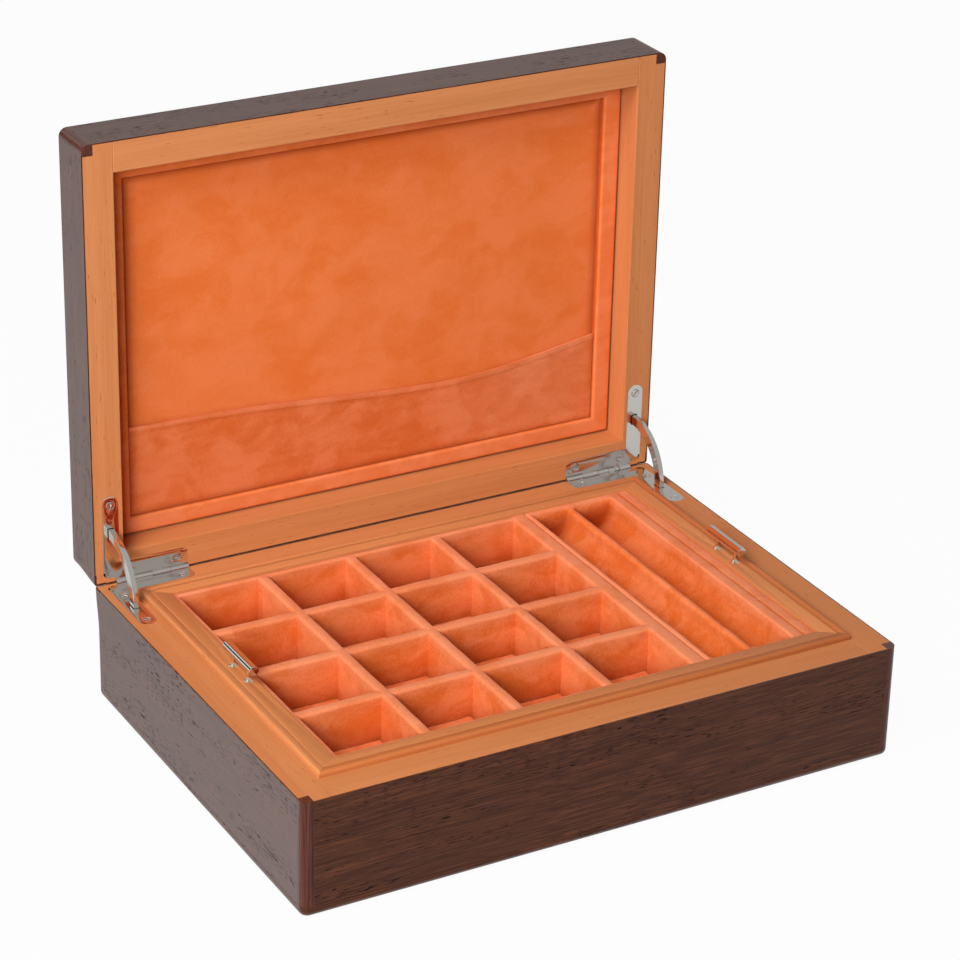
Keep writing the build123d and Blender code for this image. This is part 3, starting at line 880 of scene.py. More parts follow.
def lathe(draft: Draft, profile: Sequence[Flat], place: Point, count: int,
          to_world: Callable[[float, float, float], Point]) -> None:
    """Turn a profile about an axis.

    Args:
        draft: the mesh to add to.
        profile: radius and height of each point, in order.
        place: the axis's foot.
        count: number of segments.
        to_world: maps the turned point's two cross offsets and its height to an offset.
    """
    loops = []
    for radius, height in profile:
        loop = []
        for index in range(count):
            turn = 2 * math.pi * index / count
            shift = to_world(radius * math.cos(turn), radius * math.sin(turn), height)
            loop.append(tuple(a + b for a, b in zip(place, shift)))
        loops.append(loop)
    draft.loft(loops)


def plain_from(piece: bpy.types.Object, name: str) -> bpy.types.Object:
    """Turn an object with live modifiers into a plain mesh object.

    Args:
        piece: the object, which is removed.
        name: the new object's name.

    Returns:
        The new object.
    """
    graph = bpy.context.evaluated_depsgraph_get()
    mesh = bpy.data.meshes.new_from_object(piece.evaluated_get(graph))
    mesh.name = name
    bpy.data.objects.remove(piece)
    return linked(name, mesh)


# ---- geometry nodes: what repeats --------------------------------------------------------
def rows_tree() -> bpy.types.NodeTree:
    """Build the tree that sets copies out in rows, with small turns and a wavering surface.

    Returns:
        The geometry node group.
    """
    name = "copies_in_rows"
    if name in bpy.data.node_groups:
        return bpy.data.node_groups[name]
    number, whole, vector = "NodeSocketFloat", "NodeSocketInt", "NodeSocketVector"
    sheet, given, result = group_sheet(name, "GeometryNodeTree", [
        ("Copied piece", "NodeSocketObject", None),
        ("Columns", whole, 4),
        ("Rows", whole, 4),
        ("First", vector, (0.0, 0.0, 0.0)),
        ("Step", vector, (0.0, 0.0, 0.0)),
        ("Largest shift", vector, (0.0, 0.0, 0.0)),
        ("Largest turn", vector, (0.0, 0.0, 0.0)),
        ("Waver", number, 0.0),
        ("Waver size", number, 0.01),
        ("Seed", whole, 1),
        ("Finish", "NodeSocketMaterial", None),
    ], [("Geometry", "NodeSocketGeometry")])
    take = given.outputs
    index = sheet.add("GeometryNodeInputIndex").outputs[0]
    column = sheet.math("FLOORED_MODULO", index, take["Columns"])
    row = sheet.math("FLOOR", sheet.math("DIVIDE", index, take["Columns"]))
    cell = sheet.add("ShaderNodeCombineXYZ", {0: column, 1: row, 2: row}).outputs[0]
    place = sheet.vector("MULTIPLY_ADD", {0: cell, 1: take["Step"], 2: take["First"]})

    def scatter(largest: bpy.types.NodeSocket, seed_shift: int) -> bpy.types.NodeSocket:
        """Draw a vector for each copy, up to the largest either way.

        Args:
            largest: the largest value on each axis.
            seed_shift: added to the seed, so that each draw differs.

        Returns:
            The drawn vector.
        """
        lowest = sheet.vector("SCALE", {0: largest, "Scale": -1.0})
        seed = sheet.math("ADD", take["Seed"], float(seed_shift))
        drawn = sheet.add("FunctionNodeRandomValue", {0: lowest, 1: largest, "Seed": seed},
                          data_type="FLOAT_VECTOR")
        return drawn.outputs[0]

    shifted = sheet.vector("ADD", {0: place, 1: scatter(take["Largest shift"], 0)})
    points = sheet.add("GeometryNodePoints", {"Count": sheet.math("MULTIPLY", take["Columns"], take["Rows"]),
                                              "Position": shifted})
    source = sheet.add("GeometryNodeObjectInfo", {"Object": take["Copied piece"]})
    turn = sheet.add("FunctionNodeEulerToRotation", {0: scatter(take["Largest turn"], 7)})
    copies = sheet.add("GeometryNodeInstanceOnPoints", {"Points": points.outputs[0],
                                                        "Instance": source.outputs["Geometry"],
                                                        "Rotation": turn.outputs[0]})
    real = sheet.add("GeometryNodeRealizeInstances", {"Geometry": copies.outputs[0]})
    position = sheet.add("GeometryNodeInputPosition").outputs[0]
    wave = sheet.add("ShaderNodeTexNoise", {"Vector": position, "Detail": 1.0,
                                            "Scale": sheet.math("DIVIDE", 1.0, take["Waver size"])})
    centred = sheet.vector("SUBTRACT", {0: wave.outputs[1], 1: (0.5, 0.5, 0.5)})
    offset = sheet.vector("SCALE", {0: centred, "Scale": take["Waver"]})
    moved = sheet.add("GeometryNodeSetPosition", {"Geometry": real.outputs[0], "Offset": offset})
    dressed = sheet.add("GeometryNodeSetMaterial", {"Geometry": moved.outputs[0], "Material": take["Finish"]})
    sheet.feed(result, {0: dressed.outputs[0]})
    return sheet.tree


def on_points_tree() -> bpy.types.NodeTree:
    """Build the tree that sets a copy on each point of a mesh, turned about one axis.

    Returns:
        The geometry node group.
    """
    name = "copies_on_points"
    if name in bpy.data.node_groups:
        return bpy.data.node_groups[name]
    sheet, given, result = group_sheet(name, "GeometryNodeTree", [
        ("Geometry", "NodeSocketGeometry", None),
        ("Copied piece", "NodeSocketObject", None),
        ("Turn axis", "NodeSocketVector", (0.0, 0.0, 1.0)),
        ("Seed", "NodeSocketInt", 1),
        ("Finish", "NodeSocketMaterial", None),
    ], [("Geometry", "NodeSocketGeometry")])
    take = given.outputs
    source = sheet.add("GeometryNodeObjectInfo", {"Object": take["Copied piece"]})
    drawn = sheet.add("FunctionNodeRandomValue", {2: 0.0, 3: math.pi, "Seed": take["Seed"]}, data_type="FLOAT")
    turn = sheet.add("FunctionNodeAxisAngleToRotation", {"Axis": take["Turn axis"], "Angle": drawn.outputs[1]})
    copies = sheet.add("GeometryNodeInstanceOnPoints", {"Points": take["Geometry"],
                                                        "Instance": source.outputs["Geometry"],
                                                        "Rotation": turn.outputs[0]})
    real = sheet.add("GeometryNodeRealizeInstances", {"Geometry": copies.outputs[0]})
    dressed = sheet.add("GeometryNodeSetMaterial", {"Geometry": real.outputs[0], "Material": take["Finish"]})
    sheet.feed(result, {0: dressed.outputs[0]})
    return sheet.tree


def grown(name: str, tree: bpy.types.NodeTree, values: dict[str, object],
          seeds: Iterable[Point] = ((0.0, 0.0, 0.0),)) -> bpy.types.Object:
    """Run a geometry tree and keep its result as a plain piece.

    Args:
        name: the piece's name.
        tree: the geometry node group.
        values: value of each named input.
        seeds: points of the mesh that the tree starts from, in millimetres.

    Returns:
        The new object.
    """
    start = bpy.data.meshes.new(name)
    start.from_pydata([tuple(MM * c for c in p) for p in seeds], [], [])
    holder = linked(name + "_source", start)
    modifier = holder.modifiers.new("copies", "NODES")
    modifier.node_group = tree
    for item in tree.interface.items_tree:
        if item.in_out == "INPUT" and item.name in values:
            modifier[item.identifier] = values[item.name]
    holder.update_tag()
    made = plain_from(holder, name)
    copied = values.get("Copied piece")
    if copied is not None:
        bpy.data.objects.remove(copied)
    return made


# ---- the case ----------------------------------------------------------------------------
@dataclass
class Case:
    """Cedar walls, veneers, corner strips and edging of base and lid."""

    nodes: dict[str, bpy.types.Object]
    half_x: float = 150.0
    half_y: float = 108.0
    rim_z: float = 57.2
    pin_z: float = 57.35
    lid_rim_y: float = 108.15
    lid_z: float = 165.35
    opening_x: float = 135.0
    opening_z: float = 93.0
    wall_easing: float = 0.06
    opening_easing: float = 0.35
    strip: float = 5.5
    corner: float = 1.1
    far_corner: float = 4.0
    taper: float = 22.0
    base_crescent: float = 0.6
    lid_crescent: float = 1.0
    end_proud: float = 0.03
    meeting: float = 0.12
    rim_growth: float = 0.10
    leaf_x: float = 145.55
    leaf_round: float = 3.05
    leaf_setback: float = 2.55

    def grain_of(self, name: str) -> Grain:
        """Say which way a piece's fibres run.

        Args:
            name: the node's name.

        Returns:
            The grain.
        """
        in_lid = name.startswith("lid_")
        if "corner_strip" in name:
            return Grain.ALONG_Y if in_lid else Grain.ALONG_Z
        if "_left_" in name or "_right_" in name or name.endswith(("_left", "_right")):
            return Grain.ALONG_Z if in_lid else Grain.ALONG_Y
        return Grain.ALONG_X

    def finish_of(self, name: str, index: int) -> Finish:
        """Choose the finish of a piece of the case.

        Args:
            name: the node's name.
            index: its place in the list, which moves its grain.

        Returns:
            The finish.
        """
        grain = self.grain_of(name)
        offset = 137.0 * index
        if "veneer" in name:
            return veneer(grain, offset)
        if "corner_strip" in name or "edging" in name:
            return solid_wood(grain, offset)
        # Painted shade: the front and right liners, whose outer faces stand in shade, get a darker cedar.
        shaded_liner = name in ("base_liner_front", "base_liner_right")
        return cedar(grain, offset, 0.72 if shaded_liner else 1.0)

    def opening_arris(self, middle: Vector) -> bool:
        """Tell the arris round the lid's opening from its other edges.

        Args:
            middle: middle of an edge, in millimetres.

        Returns:
            Whether the edge belongs to that arris.
        """
        beside = (abs(abs(middle.x) - self.opening_x) < 0.1
                  or abs(abs(middle.z - self.lid_z) - self.opening_z) < 0.1)
        return beside and abs(middle.y - self.lid_rim_y) < 0.1

    def meeting_edge(self, name: str, plane: Callable[[Vector], bool], shift: Point) -> bpy.types.Object:
        """Copy a back veneer with its edge grown, so that base and lid meet at the back.

        Args:
            name: the node's name.
            plane: tells the points of the edge.
            shift: how far they move, in millimetres.

        Returns:
            The copy, which stands for the node.
        """
        node = self.nodes[name]
        mesh = node.data.copy()
        mesh.name = name + "_meeting"
        for vertex in mesh.vertices:
            if plane(vertex.co / MM):
                vertex.co += Vector(shift) * MM
        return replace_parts(linked(mesh.name, mesh), name)

    def edging(self) -> bpy.types.Object:
        """Copy the bottom edging and lay its grain along each side."""
        piece = eased_copy(self.nodes["base_bottom_edging"], "base_edging_mitred", 0.05)
        veneer(Grain.ALONG_X, 611.0).dress(piece)
        piece.data.materials.append(veneer(Grain.ALONG_Y, 742.0).material())
        for polygon in piece.data.polygons:
            x, y, _ = polygon.center / MM
            polygon.material_index = int(self.half_x - abs(x) < self.half_y - abs(y))
        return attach(piece, Body.BASE.value)

    def back_strips(self) -> list[bpy.types.Object]:
        """Shape the four strips at the hinges, which are nearly square where base and lid meet."""
        made = []
        for in_lid in (False, True):
            body = Body.LID if in_lid else Body.BASE
            for label, side in (("left", -1), ("right", 1)):
                name = f"{body.value}_corner_strip_back_{label}"
                low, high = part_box(name)
                length = (high.y - low.y if in_lid else high.z - low.z) / MM
                loops = []
                for depth in [0.0, 0.3, *steps(2.0, self.taper, 2.0), length]:
                    share = min(1.0, depth / self.taper)
                    radius = self.corner + (self.far_corner - self.corner) * share * share * (3 - 2 * share)
                    outline = [(self.half_x - self.strip, self.strip), (self.half_x - self.strip, 0.0)]
                    outline += arc((self.half_x - radius, radius), radius, -90, 0, 12)
                    outline.append((self.half_x, self.strip))
                    loops.append([self.strip_point(side * x, reach, depth, in_lid) for x, reach in outline])
                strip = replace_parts(lofted(loops, name + "_shaped", 30.0), name)
                grain = Grain.ALONG_Y if in_lid else Grain.ALONG_Z
                solid_wood(grain, 31.0 + 9.0 * side).dress(strip)
                made.append(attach(strip, body.value))
        return made

    def strip_point(self, x: float, reach: float, depth: float, in_lid: bool) -> Point:
        """Place a point of a strip by its distances from the back and from the rim.

        Args:
            x: place across the case.
            reach: distance from the back face.
            depth: distance from the rim.
            in_lid: whether the strip is the open lid's.

        Returns:
            The point.
        """
        if in_lid:
            return (x, self.lid_rim_y + depth, self.pin_z + reach - (self.meeting if reach == 0.0 else 0.0))
        return (x, self.half_y - reach, self.rim_z - depth)

    def corner_ends(self) -> list[bpy.types.Object]:
        """Cover the ends of the strips at the hinges, where only a dark crescent shows."""
        made = []
        for in_lid in (False, True):
            crescent = self.lid_crescent if in_lid else self.base_crescent
            turn = max(self.corner, crescent + 0.1)
            outer = arc((self.half_x - self.corner, self.corner), self.corner, -90, 0, 10)
            inner = arc((self.half_x - turn, turn), turn - crescent, -90, 0, 10)
            start, start_in = (self.half_x - self.strip, 0.0), (self.half_x - self.strip, crescent)
            finish_out, finish_in = (self.half_x, self.strip), (self.half_x - crescent, self.strip)
            cut = [(self.leaf_x, self.strip)]
            cut += arc((self.leaf_x - self.leaf_round, self.leaf_setback + self.leaf_round), self.leaf_round,
                       0, -48, 6)
            dark = [start, *outer, finish_out, finish_in, *reversed(inner), start_in]
            light = [start_in, *inner, finish_in, *cut, (start[0], cut[-1][1])]
            cedar_draft, dark_draft = Draft(), Draft()
            for side in (-1, 1):
                for draft, outline in ((dark_draft, dark), (cedar_draft, light)):
                    draft.loft([[self.end_point(side * x, reach, depth, in_lid) for x, reach in outline]
                                for depth in (0.0, 0.3)])
            body = Body.LID if in_lid else Body.BASE
            grain = Grain.ALONG_Z if in_lid else Grain.ALONG_Y
            for draft, name, finish in ((cedar_draft, "corner_end_cedar", cedar(grain, 93.0)),
                                        (dark_draft, "corner_end_dark", solid_wood(grain, 57.0))):
                piece = draft.piece(f"{body.value}_{name}", 20.0)
                finish.dress(piece)
                made.append(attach(piece, body.value))
        return made

    def end_point(self, x: float, reach: float, depth: float, in_lid: bool) -> Point:
        """Place a point on a rim by its distance from the back.

        Args:
            x: place across the case.
            reach: distance from the back face.
            depth: 0 for the rim, and above 0 for how far the point stands out of it.
            in_lid: whether the rim is the open lid's.

        Returns:
            The point.
        """
        proud = self.end_proud if depth == 0.0 else -depth
        if in_lid:
            return (x, self.lid_rim_y - proud, self.pin_z + reach - (self.meeting if reach == 0.0 else 0.0))
        return (x, self.half_y - reach, self.rim_z + proud)

    def build(self) -> list[bpy.types.Object]:
        """Dress the case's nodes, with the arrises that show eased."""
        names = [n for n in self.nodes if n.startswith(("base_", "lid_")) and n.endswith(("_wall", "_veneer"))]
        names += [n for n in self.nodes if "corner_strip_front" in n or n.startswith("base_liner_")]
        names += ["base_bottom_panel", "lid_top_panel", "tray_rest_cleats"]
        made = [self.edging()]
        for index, name in enumerate(sorted(set(names))):
            piece = self.nodes[name]
            if name == "base_back_veneer":
                piece = self.meeting_edge(name, lambda p: p.z > self.rim_z - 0.05, (0.0, 0.0, self.rim_growth))
                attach(piece, Body.BASE.value)
            elif name == "lid_back_veneer":
                piece = self.meeting_edge(name, lambda p: p.z < self.pin_z + 0.05, (0.0, 0.0, -self.meeting))
                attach(piece, Body.LID.value)
            elif name.startswith("base_") and ("liner" in name or name.endswith("_wall")):
                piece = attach(eased_copy(piece, name + "_eased", self.wall_easing), Body.BASE.value)
            elif name.endswith("_wall"):
                piece = eased_copy(piece, name + "_eased", self.opening_easing, choose=self.opening_arris)
                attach(piece, Body.LID.value)
            made.append(self.finish_of(name, index).dress(piece))
        return made + self.back_strips() + self.corner_ends()


@dataclass
class Baize:
    """Felt stuck to the underside."""

    width: float = 290.0
    depth: float = 206.0
    thickness: float = 0.8
    corner: float = 4.0

    def build(self) -> list[bpy.types.Object]:
        """Build the felt as a thin sheet with rounded corners and a soft edge."""
        loops = []
        for inset, height in ((0.35, 0.0), (0.0, 0.25), (0.0, 0.6), (0.2, self.thickness)):
            loop: list[Point] = []
            across, along = self.width / 2 - self.corner, self.depth / 2 - self.corner
            for start, (x, y) in ((0, (across, along)), (90, (-across, along)), (180, (-across, -along)),
                                  (270, (across, -along))):
                loop += [(a, b, height) for a, b in arc((x, y), self.corner - inset, start, start + 90, 6)]
            loops.append(loop)
        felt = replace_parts(lofted(loops, "underside_felt"), "base_underside_baize")
        BAIZE.dress(felt)
        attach(felt, Body.BASE.value)
        return [felt]


# ---- padded pieces -----------------------------------------------------------------------
@dataclass(frozen=True)
class Stuffing:
    """Settings of the simulation that swells a pad."""

    enlarge: float = 20.0
    voxel: float = 1.0
    pressure: float = 4.0
    last_frame: int = 20
    largest_move: float = 0.5

    def swell(self, name: str, size: Point, place: Point) -> bpy.types.Object:
        """Swell a flat block into a pad.

        The block is enlarged while it is simulated, because cloth of a few millimetres
        is below the solver's working size.

        Args:
            name: the pad's name.
            size: the block's size.
            place: centre of its foot.

        Returns:
            The pad, as a plain mesh.
        """
        work = bmesh.new()
        bmesh.ops.create_cube(work, size=1.0)
        grow = self.enlarge * MM
        bmesh.ops.scale(work, vec=[grow * c for c in size], verts=work.verts)
        bmesh.ops.bevel(work, geom=list(work.edges), offset=0.3 * grow * size[2], segments=3, profile=0.6,
                        affect="EDGES")
        holder = settled(work, name)
        remesh = holder.modifiers.new("even", "REMESH")
        remesh.mode = "VOXEL"
        remesh.voxel_size = grow * self.voxel
        holder = plain_from(holder, name)
        rest = [v.co.copy() for v in holder.data.vertices]
        cloth = holder.modifiers.new("swell", "CLOTH")
        cloth.settings.use_pressure = True
        cloth.settings.uniform_pressure_force = self.pressure
        cloth.settings.effector_weights.gravity = 0.0
        for frame_number in range(1, self.last_frame + 1):
            bpy.context.scene.frame_set(frame_number)
        holder = plain_from(holder, name)
        bpy.context.scene.frame_set(1)
        cap = grow * self.largest_move
        foot = min(p.z for p in rest)
        for vertex, start in zip(holder.data.vertices, rest):
            move = vertex.co - start
            if move.length > cap:
                move = move.normalized() * cap
            spot = start + move
            spot.z = max(spot.z, foot)
            vertex.co = Vector((spot.x / self.enlarge, spot.y / self.enlarge, (spot.z - foot) / self.enlarge))
            vertex.co += Vector(place) * MM
        for polygon in holder.data.polygons:
            polygon.use_smooth = True
        return holder


# ---- the tray ----------------------------------------------------------------------------
@dataclass
class TrayFrame:
    """Mitred cedar frame and bottom board of the tray."""

    nodes: dict[str, bpy.types.Object]
    half_x: float = 130.8
    half_y: float = 88.8
    easing: float = 0.25

    def off_mitre(self, middle: Vector) -> bool:
        """Tell an edge along a rail from one on a mitre.

        Args:
            middle: middle of the edge, in millimetres.

        Returns:
            Whether the edge lies off the mitres.
        """
        return abs((self.half_x - abs(middle.x)) - (self.half_y - abs(middle.y))) > 0.4

    def build(self) -> list[bpy.types.Object]:
        """Dress the frame's rails and the board."""
        made = []
        for index, name in enumerate(("left", "right", "front", "back")):
            node = self.nodes[f"tray_{name}_rail"]
            rail = eased_copy(node, f"tray_{name}_frame", self.easing, choose=self.off_mitre)
            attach(rail, Body.TRAY.value)
            grain = Grain.ALONG_Y if name in ("left", "right") else Grain.ALONG_X
            made.append(cedar(grain, 411.0 + 73.0 * index).dress(rail))
        made.append(cedar(Grain.ALONG_X, 805.0).dress(self.nodes["tray_bottom_board"]))
        return made


@dataclass
class Cells:
    """Sixteen cells of suede-wrapped dividers with a loose pad in each."""

    left: float = -120.0
    right: float = 56.9
    back: float = 80.05
    width: float = 40.1
    length: float = 35.9
    divider: float = 5.5
    columns: int = 4
    rows: int = 4
    insert_x: float = -122.8
    insert_y: float = 82.8
    seam_x: float = 64.7
    foot: float = 34.5
    top: float = 58.5
    crown: float = 1.6
    edge: float = 1.1
    pad_gap: float = 0.35
    pad_height: float = 3.4
    stuffing: Stuffing = Stuffing()

    def wall(self, draft: Draft, across: Flat, along: Flat, lengthwise: bool, crown: float,
             seed: float) -> None:
        """Add a wrapped wall with a rounded, slightly wavering top.

        Args:
            draft: the mesh to add to.
            across: the wall's two faces.
            along: its two ends.
            lengthwise: whether it runs along Y, and not X.
            crown: rounding of its top.
            seed: which waver it gets.
        """
        low, high = across
        profile = [(low, self.foot)]
        profile += [(low, z) for z in steps(self.foot, self.top - crown, 4.0)[1:-1]]
        profile += arc((low + crown, self.top - crown), crown, 180, 90, 6)
        profile += arc((high - crown, self.top - crown), crown, 90, 0, 6)
        profile += [(high, z) for z in reversed(steps(self.foot, self.top - crown, 4.0)[1:-1])]
        profile.append((high, self.foot))
        middle = (low + high) / 2
        loops = []
        for station in steps(along[0], along[1], 2.2):
            loop: list[Point] = []
            for a, z in profile:
                rise = (z - self.foot) / (self.top - self.foot)
                spot = (a, station, z) if lengthwise else (station, a, z)
                slim = 1 + 0.05 * rise * sway(spot, 14.0, seed)
                bow = 0.22 * rise * sway((station, 0.0, 0.0), 26.0, seed + 3)
                drop = 0.16 * rise * sway((station, middle, 0.0), 9.0, seed + 5)
                b = middle + (a - middle) * slim + bow
                loop.append((b, station, z + drop) if lengthwise else (station, b, z + drop))
            loops.append(loop)
        draft.loft(loops)

    def wall_light_and_shade(self, point: Vector) -> float:
        """Paint light on a wall's top and shade towards its foot.

        Args:
            point: a point of the wall, in millimetres.

        Returns:
            Painted light below 0 and painted shade above 0.
        """
        below = self.top - point.z
        return -0.7 * max(0.0, 1 - below / 2.6) + 0.5 * max(0.0, (below - 9.0) / (self.top - self.foot - 9.0))

    def pad_light_and_shade(self, point: Vector) -> float:
        """Paint shade round a pad's edge, beside the walls, and a little light on the rest.

        Args:
            point: a point of the pad, in millimetres.

        Returns:
            Painted light below 0 and painted shade above 0.
        """
        edge = min(self.width / 2 - abs(point.x), self.length / 2 - abs(point.y))
        return -0.12 * min(1.0, edge / 4.0) + 0.3 * max(0.0, 1 - edge / 1.2)

    def liners(self) -> bpy.types.Object:
        """Build the four liners round the grid."""
        draft = Draft()
        self.wall(draft, (self.insert_x, self.left), (-self.insert_y, self.insert_y), True, self.edge, 1.0)
        for side, seed in ((-1, 2.0), (1, 3.0)):
            faces = tuple(sorted((side * self.insert_y, side * self.back)))
            self.wall(draft, faces, (self.left - 0.6, self.right + 0.6), False, self.edge, seed)
        self.wall(draft, (self.right, self.seam_x), (-self.insert_y, self.insert_y), True, self.crown, 4.0)
        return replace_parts(draft.piece("cell_liners_wrapped", 60.0, self.wall_light_and_shade), "cell_outer_liners")

    def long_dividers(self) -> bpy.types.Object:
        """Build the three dividers that run from front to back."""
        draft = Draft()
        for column in range(1, self.columns):
            start = self.left + column * (self.width + self.divider) - self.divider
            self.wall(draft, (start, start + self.divider), (-self.back - 0.5, self.back + 0.5), True,
                      self.crown, 10.0 + column)
        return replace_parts(draft.piece("cell_dividers_long", 60.0, self.wall_light_and_shade), "cell_long_dividers")

    def in_rows(self, name: str, piece: bpy.types.Object, rows: int, first: Point, shift: Point,
                turn: float, waver: Flat, seed: int) -> bpy.types.Object:
        """Set a piece out at the cells' spacing.

        Args:
            name: the name of the whole.
            piece: the copied piece.
            rows: number of rows.
            first: place of the first copy.
            shift: largest shift of a copy on each axis.
            turn: largest turn of a copy in degrees.
            waver: depth and feature size of the surface's waver.
            seed: which shifts and turns it gets.

        Returns:
            All the copies, as one piece.
        """
        return grown(name, rows_tree(), {
            "Copied piece": piece,
            "Columns": self.columns,
            "Rows": rows,
            "First": [MM * c for c in first],
            "Step": [MM * (self.width + self.divider), MM * (self.length + self.divider), 0.0],
            "Largest shift": [MM * c for c in shift],
            "Largest turn": [0.0, 0.0, math.radians(turn)],
            "Waver": MM * waver[0],
            "Waver size": MM * waver[1],
            "Seed": seed,
            "Finish": CELL_SUEDE.material(),
        })

    def cross_dividers(self) -> bpy.types.Object:
        """Build one divider and set it out across each column."""
        draft = Draft()
        half = self.divider / 2
        self.wall(draft, (-half, half), (-0.9, self.width + 0.9), False, self.crown, 21.0)
        made = self.in_rows("cell_dividers_cross", draft.piece("one_cross_divider", 60.0, self.wall_light_and_shade),
                            self.rows - 1, (self.left, -self.back + self.length + half, 0.0),
                            (0.0, 0.15, 0.06), 0.35, (0.5, 14.0), 5)
        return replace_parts(made, "cell_cross_dividers")

    def pads(self) -> bpy.types.Object:
        """Swell one pad and lay it in each cell, a little out of true."""
        size = (self.width - 2 * self.pad_gap - 0.2, self.length - 2 * self.pad_gap - 0.2,
                self.pad_height - 0.5)
        pad = paint_light_and_shade(self.stuffing.swell("one_pad", size, (0.0, 0.0, 0.0)), self.pad_light_and_shade)
        first = (self.left + self.width / 2, -self.back + self.length / 2, self.foot)
        made = self.in_rows("cell_pads_loose", pad, self.rows, first, (0.2, 0.2, 0.0), 0.8, (0.35, 12.0), 11)
        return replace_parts(made, "cell_floor_pads")

    def build(self) -> list[bpy.types.Object]:
        """Build and dress the whole grid."""
        made = [self.liners(), self.long_dividers(), self.cross_dividers(), self.pads()]
        for piece, fill in zip(made, (0.95, 0.95, 0.95, 0.6)):
            CELL_SUEDE.dress(piece)
            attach(piece, Body.TRAY.value)
        return made


@dataclass
class Troughs:
    """Suede-covered insert with two long troughs."""

    left: float = 64.9
    right: float = 122.8
    half_length: float = 82.8
    end_wall: float = 3.0
    foot: float = 34.5
    top: float = 58.5
    border: float = 2.6
    width: float = 19.7
    depth: float = 15.0
    ridge: float = 4.4
    ridge_drop: float = 1.3
    edge: float = 1.0
    crease: float = 5.6

    def profile(self) -> list[tuple[float, float, bool]]:
        """Draw the section across the insert.

        Returns:
            X, height and whether the point belongs to a trough, in order.
        """
        high = self.top - self.edge
        points = [(self.left, self.foot, False), (self.left, self.top - 4.0, False)]
        points += [(x, z, False) for x, z in arc((self.left + self.edge, high), self.edge, 180, 90, 4)]
        radius = self.width / 2
        start = self.left + self.border
        for index in range(2):
            near = self.top if index == 0 else self.top - self.ridge_drop
            far = self.top - self.ridge_drop if index == 0 else self.top
            middle = start + radius + index * (self.width + self.ridge)
            centre = self.top - self.depth + radius
            edge = self.edge if index == 0 else self.ridge / 2
            points += [(x, z, True) for x, z in arc((middle - radius - edge, near - edge), edge, 90, 0, 5)]
            points += [(x, z, True) for x, z in arc((middle, centre), radius, 180, 360, 22)]
            edge = self.ridge / 2 if index == 0 else self.edge
            points += [(x, z, True) for x, z in arc((middle + radius + edge, far - edge), edge, 180, 90, 5)]
        points += [(self.right - self.crease - shift, self.top - sink, False)
                   for shift, sink in ((1.1, 0.0), (0.45, 0.10), (0.0, 0.35), (-0.45, 0.10), (-1.1, 0.0))]
        points += [(x, z, False) for x, z in arc((self.right - self.edge, high), self.edge, 90, 0, 4)]
        points += [(self.right, self.top - 4.0, False), (self.right, self.foot, False)]
        return points

    def nap(self, point: Vector) -> float:
        """Paint light along the top, and shade at the trough ends, in the crease and deeper down the troughs,
        more in the right-hand one.

        Args:
            point: a point of the insert, in millimetres.

        Returns:
            Painted light below 0 and painted shade above 0.
        """
        below = self.top - point.z
        from_end = self.half_length - self.end_wall - abs(point.y)
        corner = max(0.0, 1 - abs(from_end) / 6.0) * min(1.0, below / 8.0)
        seam = max(0.0, 1 - abs(self.right - self.crease - point.x) / 0.8) if below < 1.0 else 0.0
        pale = 0.7 * max(0.0, 1 - below / 2.6) * (1 - seam)
        hollow = 0.26 if point.x > self.left + self.border + self.width + self.ridge / 2 else 0.1
        return -pale + 0.45 * seam + 0.7 * corner + hollow * min(1.0, below / 12.0)

    def build(self) -> list[bpy.types.Object]:
        """Build the insert with its vertical end walls."""
        wall = self.half_length - self.end_wall
        ends = [(self.half_length, 0.0), (wall + 1.2, 0.0), (wall + 0.7, 0.03), (wall + 0.25, 0.12),
                (wall + 0.05, 0.35), (wall, 0.65), (wall - 0.1, 0.88), (wall - 0.7, 1.0)]
        inside = [(y, 1.0) for y in steps(-wall + 2.5, wall - 2.5, 2.5)]
        stations = [(-y, s) for y, s in ends] + inside + list(reversed(ends))
        loops = []
        for y, share in stations:
            loop: list[Point] = []
            for x, z, in_trough in self.profile():
                if in_trough:
                    z = self.top - share * (self.top - z)
                    z += 0.28 * share * sway((x, y, 0.0), 15.0, 31.0)
                    x += 0.22 * share * sway((x, y, z), 24.0, 33.0)
                loop.append((x, y, z))
            loops.append(loop)
        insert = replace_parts(lofted(loops, "trough_insert_covered", 60.0, self.nap), "trough_insert")
        CELL_SUEDE.dress(insert)
        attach(insert, Body.TRAY.value)
        return [insert]


